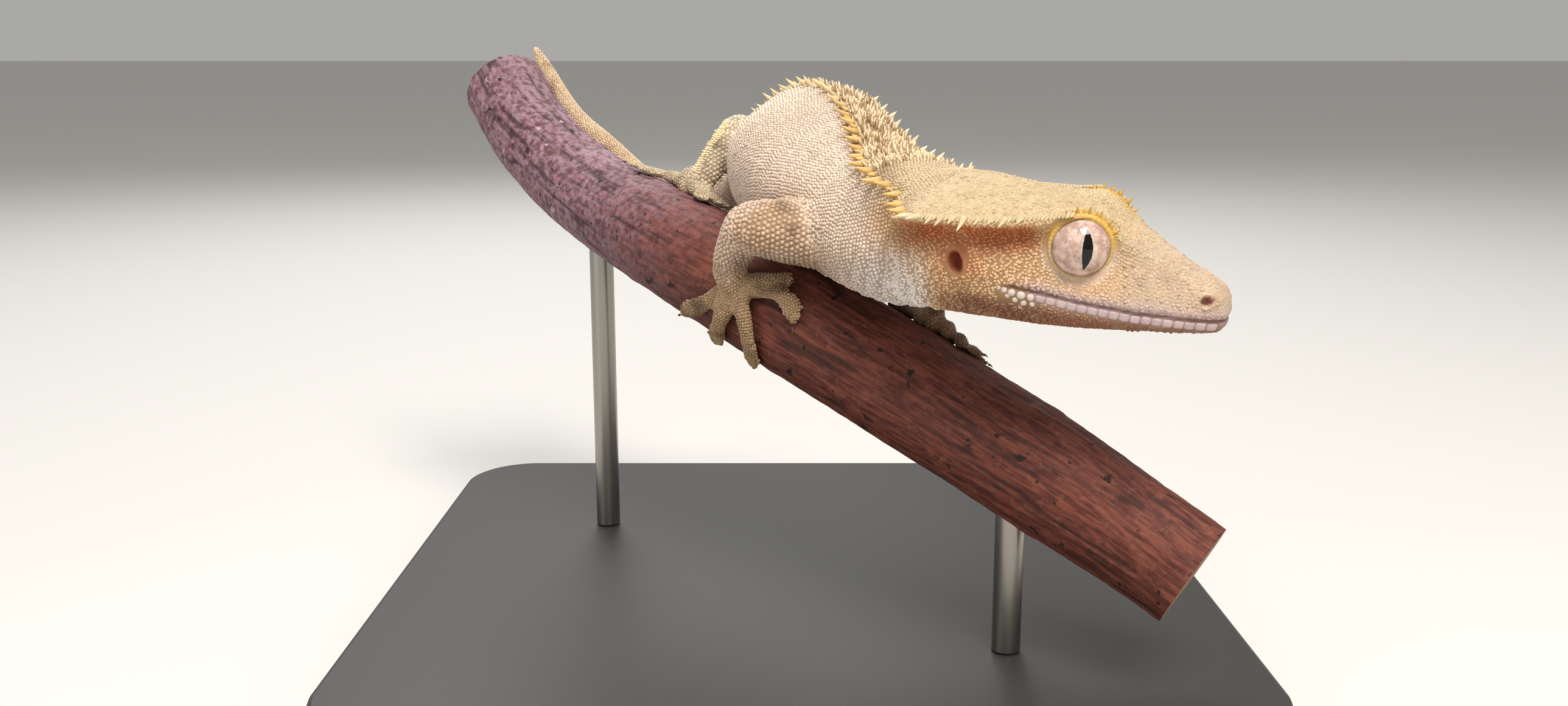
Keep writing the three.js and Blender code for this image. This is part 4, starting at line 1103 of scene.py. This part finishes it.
headCrestShape = {
    # at, length of each spine under the crest's edge; the last three lie back along the neck
    "spines": [[-6.5, 0.7], [-8.2, 1.2], [-9.8, 0.6], [-11.2, 0.8], [-12.8, 1.7], [-14.2, 0.8],
               [-15.4, 1.3], [-16.6, 1.1], [-18.2, 1.6], [-19.3, 1.7], [-20.2, 1.5]],
    "beads": 44,
}


def headSpines():
    # a few long spines that hang down and back, with beads along the edge between them
    found = []
    for side in (1, -1):
        x, long = np.array(headCrestShape["spines"]).T
        bead = np.linspace(-1.0, -20.2, headCrestShape["beads"])
        x, long = np.concatenate([x, bead]), np.concatenate([long, np.full(len(bead), 0.42)])
        long[len(long) - len(bead):] *= rng.uniform(0.6, 1.1, len(bead))
        size = headSize(x)
        foot = fromHead(np.stack([x, side * (size[:, 2] - 0.12), size[:, 3] - 0.05], 1))
        back = ease(-16, -19, x)
        way = np.stack([-0.3 - 0.7 * back, side * (0.75 - 0.2 * back), -0.6 + 0.55 * back], 1)
        way = unit(way + rng.normal(0, 0.08, (len(x), 3))) @ headTurn.T
        colour = (tones["stripe"] * 0.55 + tones["crown"] * 0.45) * rng.uniform(0.92, 1.1, (len(x), 1))
        found.append(cones(foot - way * 0.3, way, headTurn @ np.array([-0.1, 0, -0.1]) + np.zeros((len(x), 3)),
                           long + 0.3, 0.28 + 0.1 * np.clip(long, 0, 1.6), colour,
                           headSheet(x, 0.5 + side * 0.34)))
    return found


legStripes = [
    # part, way from the bone to the row, from, to, count, length
    ["legRightLower", (-0.75, -0.65, 0.1), 0.16, 0.92, 26, 0.75],
    ["legRightUpper", (0.3, -0.75, 0.6), 0.6, 0.92, 8, 0.45],
    ["legLeftLower", (0.75, 0.6, 0.2), 0.2, 0.85, 20, 0.7], ["legLeftUpper", (0.5, 0.4, 0.75), 0.55, 0.9, 8, 0.45],
]


def legSpines():
    # raised pale rows along the thigh and the shin, on the side of the leg that faces the way given
    found = []
    for part, way, low, high, count, long in legStripes:
        t = np.linspace(low, high, count)
        u = np.linspace(0, 1, 72, endpoint=False)
        around = fleshParts[part](*np.meshgrid(t, u, indexing="ij"))
        middle = around.mean(1)
        best = ((around - middle[:, None]) @ np.array(way)).argmax(1)
        foot = around[np.arange(count), best]
        out = unit(foot - middle)
        for shift, scale in ((0.0, 1.0), (0.35, 0.6)):
            ahead = unit(np.gradient(foot, axis=0))
            aside = np.cross(out, ahead) * shift * 1.6 + ahead * shift
            lean = unit(out + ahead * 0.35 + rng.normal(0, 0.12, (count, 3)))
            colour = tones["stripe"] * rng.uniform(0.92, 1.12, (count, 1))
            reach = long * scale * rng.uniform(0.7, 1.15, count) + 0.3
            found.append(cones(foot + aside - out * 0.3, lean, ahead * 0.1, reach,
                               np.full(count, 0.36 * (0.5 + 0.5 * scale)), colour,
                               sheetPlace(part, np.stack([t, u[best]], 1))))
    return found


spinePaint = fleshMaterial("spineHorn", 0.36, 0.00004)
v, f, c, uv = joined(backSpines() + headSpines() + legSpines() + backCones)
makePiece("spines", v, f, spinePaint, (), "skin_body", c, uv)


# eyes: a ball with fine veins on the iris and an upright slit, and a lid rolled round it
def eyeBall(side):
    # sphere, its pole on the way it looks; place holds across, up and depth in shares of the radius
    centre, looks, across, up = eyeFrame(side)
    tilt, turn = np.meshgrid(np.linspace(0.004, np.pi * 0.78, 96), circle(128), indexing="ij")
    flat = np.stack([np.sin(tilt) * np.cos(turn), np.sin(tilt) * np.sin(turn), np.cos(tilt)], -1)
    flat = flat[..., :1] * across + flat[..., 1:2] * up + flat[..., 2:] * looks
    points = centre + headShape["eyeRadius"] * flat * 0.995
    verts, faces = shellOf(points - centre)
    local = np.stack([verts @ across, verts @ up, verts @ looks], 1) / headShape["eyeRadius"]
    return verts + centre, faces, local


def irisMaterial():
    # pink grey iris with branching veins, dark rim, cream edge round a slit |across| < w (1 - (up / h)^2)
    board = Board("eyeGlass", Roughness=0.08, IOR=1.36, Coat_Weight=0.15, Coat_Roughness=0.03)
    place = board.attribute("place", 1)
    across, up, _ = board.split(place)
    flat = board.add("ShaderNodeCombineXYZ", {}, {0: across, 1: up})
    far = board.add("ShaderNodeVectorMath", {"operation": "LENGTH"}, {0: flat}, 1)
    vein = (board.spots(place, 3.4, 5.0, 0.55, 1.6) - 0.5).maths("ABSOLUTE")
    patch = board.spots(place, 2.6, 3, 0.5)
    colour = board.mix(patch.above(0.35, 0.65), tone(0.70, 0.57, 0.52), tone(0.87, 0.76, 0.70))
    colour = board.mix((1 - vein.above(0.0, 0.03)) * 0.6, colour, tone(0.45, 0.28, 0.22))
    colour = board.mix(far.above(0.82, 0.95) * 0.9, colour, tone(0.14, 0.08, 0.06))
    high = up * (1 / 0.66)
    opened = 1 - high * high
    slit = (across - 0.1 - opened * 0.05).maths("ABSOLUTE") - opened * 0.165
    slit = slit + board.spots(place, 11.0, 1, 0.5) * 0.03
    colour = board.mix(1 - slit.above(0.0, 0.09), colour, tone(0.80, 0.74, 0.64))
    colour = board.mix(1 - slit.above(0.0, 0.035), colour, (0.004, 0.003, 0.003))
    board.feed("Base Color", colour)
    return board.material


def lidRoll(side):
    # ring round the eye: centre line of radius 3.5, thicker and yellow above, thin and cream below, beaded edge
    centre, looks, across, up = eyeFrame(side)
    turn, bend = np.meshgrid(circle(240), circle(20), indexing="ij")
    high = np.sin(turn)
    thick = 0.27 + 0.17 * ease(-0.2, 0.8, high) + 0.05 * np.abs(np.sin(turn * 22))
    way = across * np.cos(turn)[..., None] + up * np.sin(turn)[..., None]
    middle = centre + looks * (1.2 + 0.1 * high)[..., None] + way * 3.5
    verts = middle + way * (thick * np.cos(bend))[..., None] + looks * (thick * np.sin(bend))[..., None]
    verts = verts.reshape(-1, 3)
    rings, sides = turn.shape
    k, i = np.meshgrid(np.arange(rings), np.arange(sides), indexing="ij")
    a, b, c, d = (((k + p) % rings * sides + (i + q) % sides).ravel() for p, q in ((0, 0), (0, 1), (1, 1), (1, 0)))
    faces = outward(verts, np.vstack([np.stack([a, b, c], 1), np.stack([a, c, d], 1)]), centre)
    inner = np.cos(bend).ravel()
    low = tones["crown"] * 0.6 + tones["lid"] * 0.35
    colour = low + (tones["lid"] * 1.05 - low) * ease(-0.25, 0.35, high.ravel())[:, None]
    colour = colour + (tones["ear"] * 0.6 - colour) * ease(-0.55, -0.95, inner)[:, None]
    return verts, faces, colour * (0.9 + 0.2 * cloud(verts, 0.35, 21))[:, None], np.zeros((len(verts), 2))


def lashes(side):
    # long and short in turn along the upper half of the lid, darker at the tip
    centre, looks, across, up = eyeFrame(side)
    count = 15
    swing = np.radians(np.linspace(-64, 62, count) + rng.uniform(-2, 2, count))
    way = across * np.sin(swing)[:, None] + up * np.cos(swing)[:, None]
    foot = centre + looks * 1.25 + way * 3.85
    out = unit(way * 0.9 + looks * 0.42 + rng.normal(0, 0.1, (count, 3)))
    long = np.where(np.arange(count) % 2, 0.4, 0.85) * rng.uniform(0.85, 1.1, count)
    v, f, c, uv = cones(foot, out, up * 0.1 + np.zeros((count, 3)), long + 0.25, np.full(count, 0.3),
                        np.tile(tones["lid"], (count, 1)))
    tipShare = np.tile(np.concatenate([np.repeat(np.linspace(0, 0.8, 5), 7), [1]]), count)
    return v, f, c + (tones["armDark"] - c) * ease(0.5, 1.0, tipShare)[:, None] * 0.5, uv


irisPaint = irisMaterial()
lidPaint = fleshMaterial("lidSkin", 0.3, 0.00003)
for side, name in ((1, "Left"), (-1, "Right")):
    v, f, place = eyeBall(side)
    makePiece("eye" + name, v, f, irisPaint, ["eye_left" if side > 0 else "eye_right"], "eye", place=place)
v, f, c, uv = joined([lidRoll(1), lidRoll(-1), lashes(1), lashes(-1)])
makePiece("lids", v, f, lidPaint, (), "skin_head", c)
print("eyes made")


# claws
foot, way, out = (np.array([tip[k] for tip in clawTips]) for k in range(3))
v, f, c, uv = cones(foot - way * 0.35 + out * 0.1, unit(way + out * 0.35), -out * 0.45, np.full(len(foot), 0.95),
                    np.full(len(foot), 0.2), np.tile(tone(0.33, 0.25, 0.18), (len(foot), 1)))
makePiece("claws", v, f, spinePaint, (), "skin_leg", c)


# branch and stand
def barkMaterial():
    # red brown with pale ridges, dark knots; purplish with dark flecks and pale chips towards the upper end
    board = Board("bark", IOR=1.4)
    place = board.objectPlace()
    around, length, depth = board.split(board.attribute("place", 1))
    broad = board.spots(place, 90, 4, 0.6)
    small = board.spots(place, 900, 5, 0.65)
    along = board.add("ShaderNodeCombineXYZ", {}, {0: around * 40.0, 1: length * 0.09, 2: 0.0})
    grain = board.spots(along, 2.2, 5, 0.65)
    colour = board.mix(grain.above(0.38, 0.62), tone(0.30, 0.13, 0.095), tone(0.46, 0.24, 0.18))
    colour = board.mix(small.above(0.5, 0.75) * 0.4, colour, tone(0.55, 0.36, 0.29))
    purple = board.mix(small.above(0.36, 0.6), tone(0.38, 0.25, 0.27), tone(0.60, 0.48, 0.52))
    purple = board.mix(grain.above(0.5, 0.66) * 0.6, purple, tone(0.50, 0.24, 0.24))
    colour = board.mix((1 - length.above(36.0, 78.0)) * 0.92, colour, purple)
    # darker where the bark is cut deeper: the furrows' own darker bark and painted shade
    colour = board.mix(depth.above(0.1, 0.26) * 0.7, colour, tone(0.15, 0.075, 0.06))
    chips = board.spots(place, 420, 2, 0.5)
    colour = board.mix(chips.above(0.70, 0.74) * (1 - length.above(40.0, 70.0)), colour, tone(0.70, 0.60, 0.60))
    knots = board.spots(place, 520, 2, 0.5)
    colour = board.mix(knots.above(0.66, 0.71) * 0.9, colour, tone(0.07, 0.035, 0.03))
    wood = (depth * 60.0 + broad * 6.0).maths("SINE").above(-0.6, 0.9)
    ends = board.mix(wood, tone(0.52, 0.36, 0.26), tone(0.70, 0.54, 0.40))
    colour = board.mix(1 - depth.above(-1.0, -0.97), colour, ends)
    board.feed("Base Color", colour)
    board.feed("Roughness", 0.55 + 0.3 * broad)
    board.bump(small, 0.6, 0.0003)
    return board.material


points, place = barkSurface()
v, f = shellOf(points)
place = np.vstack([place.reshape(-1, 3), place[0].mean(0), place[-1].mean(0)])
makePiece("branch", v, f, barkMaterial(), ["perch"], "bark", place=place)

standShape = {"wide": 126.0, "deep": 116.0, "high": 6.0, "corner": 12.0, "chamfer": 0.7, "rod": 2.0,
              "rodsAlong": [127, 38]}


def slab():
    # rounded rectangle |x|, |y| carried up through a chamfered profile
    turn = circle(96)
    corner = np.stack([np.sign(np.cos(turn)) * (standShape["wide"] / 2 - standShape["corner"]),
                       np.sign(np.sin(turn)) * (standShape["deep"] / 2 - standShape["corner"])], 1)
    way = np.stack([np.cos(turn), np.sin(turn)], 1)
    r, c, h = standShape["corner"], standShape["chamfer"], standShape["high"]
    rings = [[0.02, 0.0], [r - 0.4, 0.0], [r, 0.4], [r, h - c], [r - c * 0.3, h - c * 0.3], [r - c, h], [0.02, h]]
    return np.array([[[*(p + w * r), z] for p, w in zip(corner, way)] for r, z in rings])


def rodPoints(along):
    top = onBranch(along, 180.0, -0.6)[0]
    radius = standShape["rod"]
    return np.array([[[top[0] + radius * math.cos(a), top[1] + radius * math.sin(a), z] for a in circle(40)]
                     for z in (standShape["high"] + 0.3, top[2])])


basePaint = Board("basePaint", Base_Color=(*tone(0.20, 0.19, 0.18), 1), Roughness=0.42, IOR=1.45)
basePaint.bump(basePaint.spots(basePaint.objectPlace(), 900, 3, 0.6), 0.12, 0.00005)
rodPaint = Board("rodSteel", Base_Color=(*tone(0.62, 0.60, 0.57), 1), Metallic=1.0, Roughness=0.3)
v, f = shellOf(slab())
makePiece("standBase", v, f, basePaint.material, ["stand_base"], "base", smooth=False)
for along, name in zip(standShape["rodsAlong"], ("front", "back")):
    v, f = shellOf(rodPoints(float(along)))
    rod = makePiece("standRod" + name.title(), v, f, rodPaint.material, ["stand_rod_" + name], "rod")
    rod.data.set_sharp_from_angle(angle=math.radians(40))
print("branch and stand made")


# floor, light and camera
floorMesh = bpy.data.meshes.new("floor")
corners = [(x, y, -0.0004) for x, y in ((-30, -30), (30, -30), (30, 30), (-30, 30))]
floorMesh.from_pydata(corners, [], [(0, 1, 2, 3)])
floor = bpy.data.objects.new("floor", floorMesh)
bpy.context.scene.collection.objects.link(floor)
floorMesh.materials.append(Board("floorPaint", Base_Color=(*tone(0.83, 0.82, 0.80), 1), Roughness=0.8).material)
lights = {
    # place, aim, size, watts, colour
    "keyLight": [(0.12, -0.38, 0.62), (0, 0, 0.06), 0.3, 5.8, (1, 0.98, 0.95)],
    "fillLight": [(-0.55, -0.4, 0.25), (0, 0, 0.06), 0.5, 0.9, (0.92, 0.95, 1)],
    "rimLight": [(-0.1, 0.5, 0.55), (0, 0, 0.07), 0.4, 2.6, (1, 1, 1)],
}
for name, (at, aim, size, watts, colour) in lights.items():
    light = bpy.data.lights.new(name, "AREA")
    light.size, light.energy, light.color = size, watts, colour
    lamp = bpy.data.objects.new(name, light)
    lamp.location = at
    lamp.rotation_euler = (Vector(aim) - Vector(at)).to_track_quat("-Z", "Y").to_euler()
    bpy.context.scene.collection.objects.link(lamp)
world = bpy.data.worlds.new("studio")
world.use_nodes = True
world.node_tree.nodes["Background"].inputs[0].default_value = (0.95, 0.94, 0.92, 1)
world.node_tree.nodes["Background"].inputs[1].default_value = 0.42
bpy.context.scene.world = world
bpy.context.scene.view_settings.view_transform = "Standard"
lens = bpy.data.cameras.new("camera")
lens.lens, lens.sensor_width, lens.clip_start = 32, 36, 0.01
camera = bpy.data.objects.new("camera", lens)
camera.location = (-0.002, -0.2125, 0.086)
camera.rotation_euler = (math.radians(78), 0, 0)
bpy.context.scene.collection.objects.link(camera)
bpy.context.scene.camera = camera
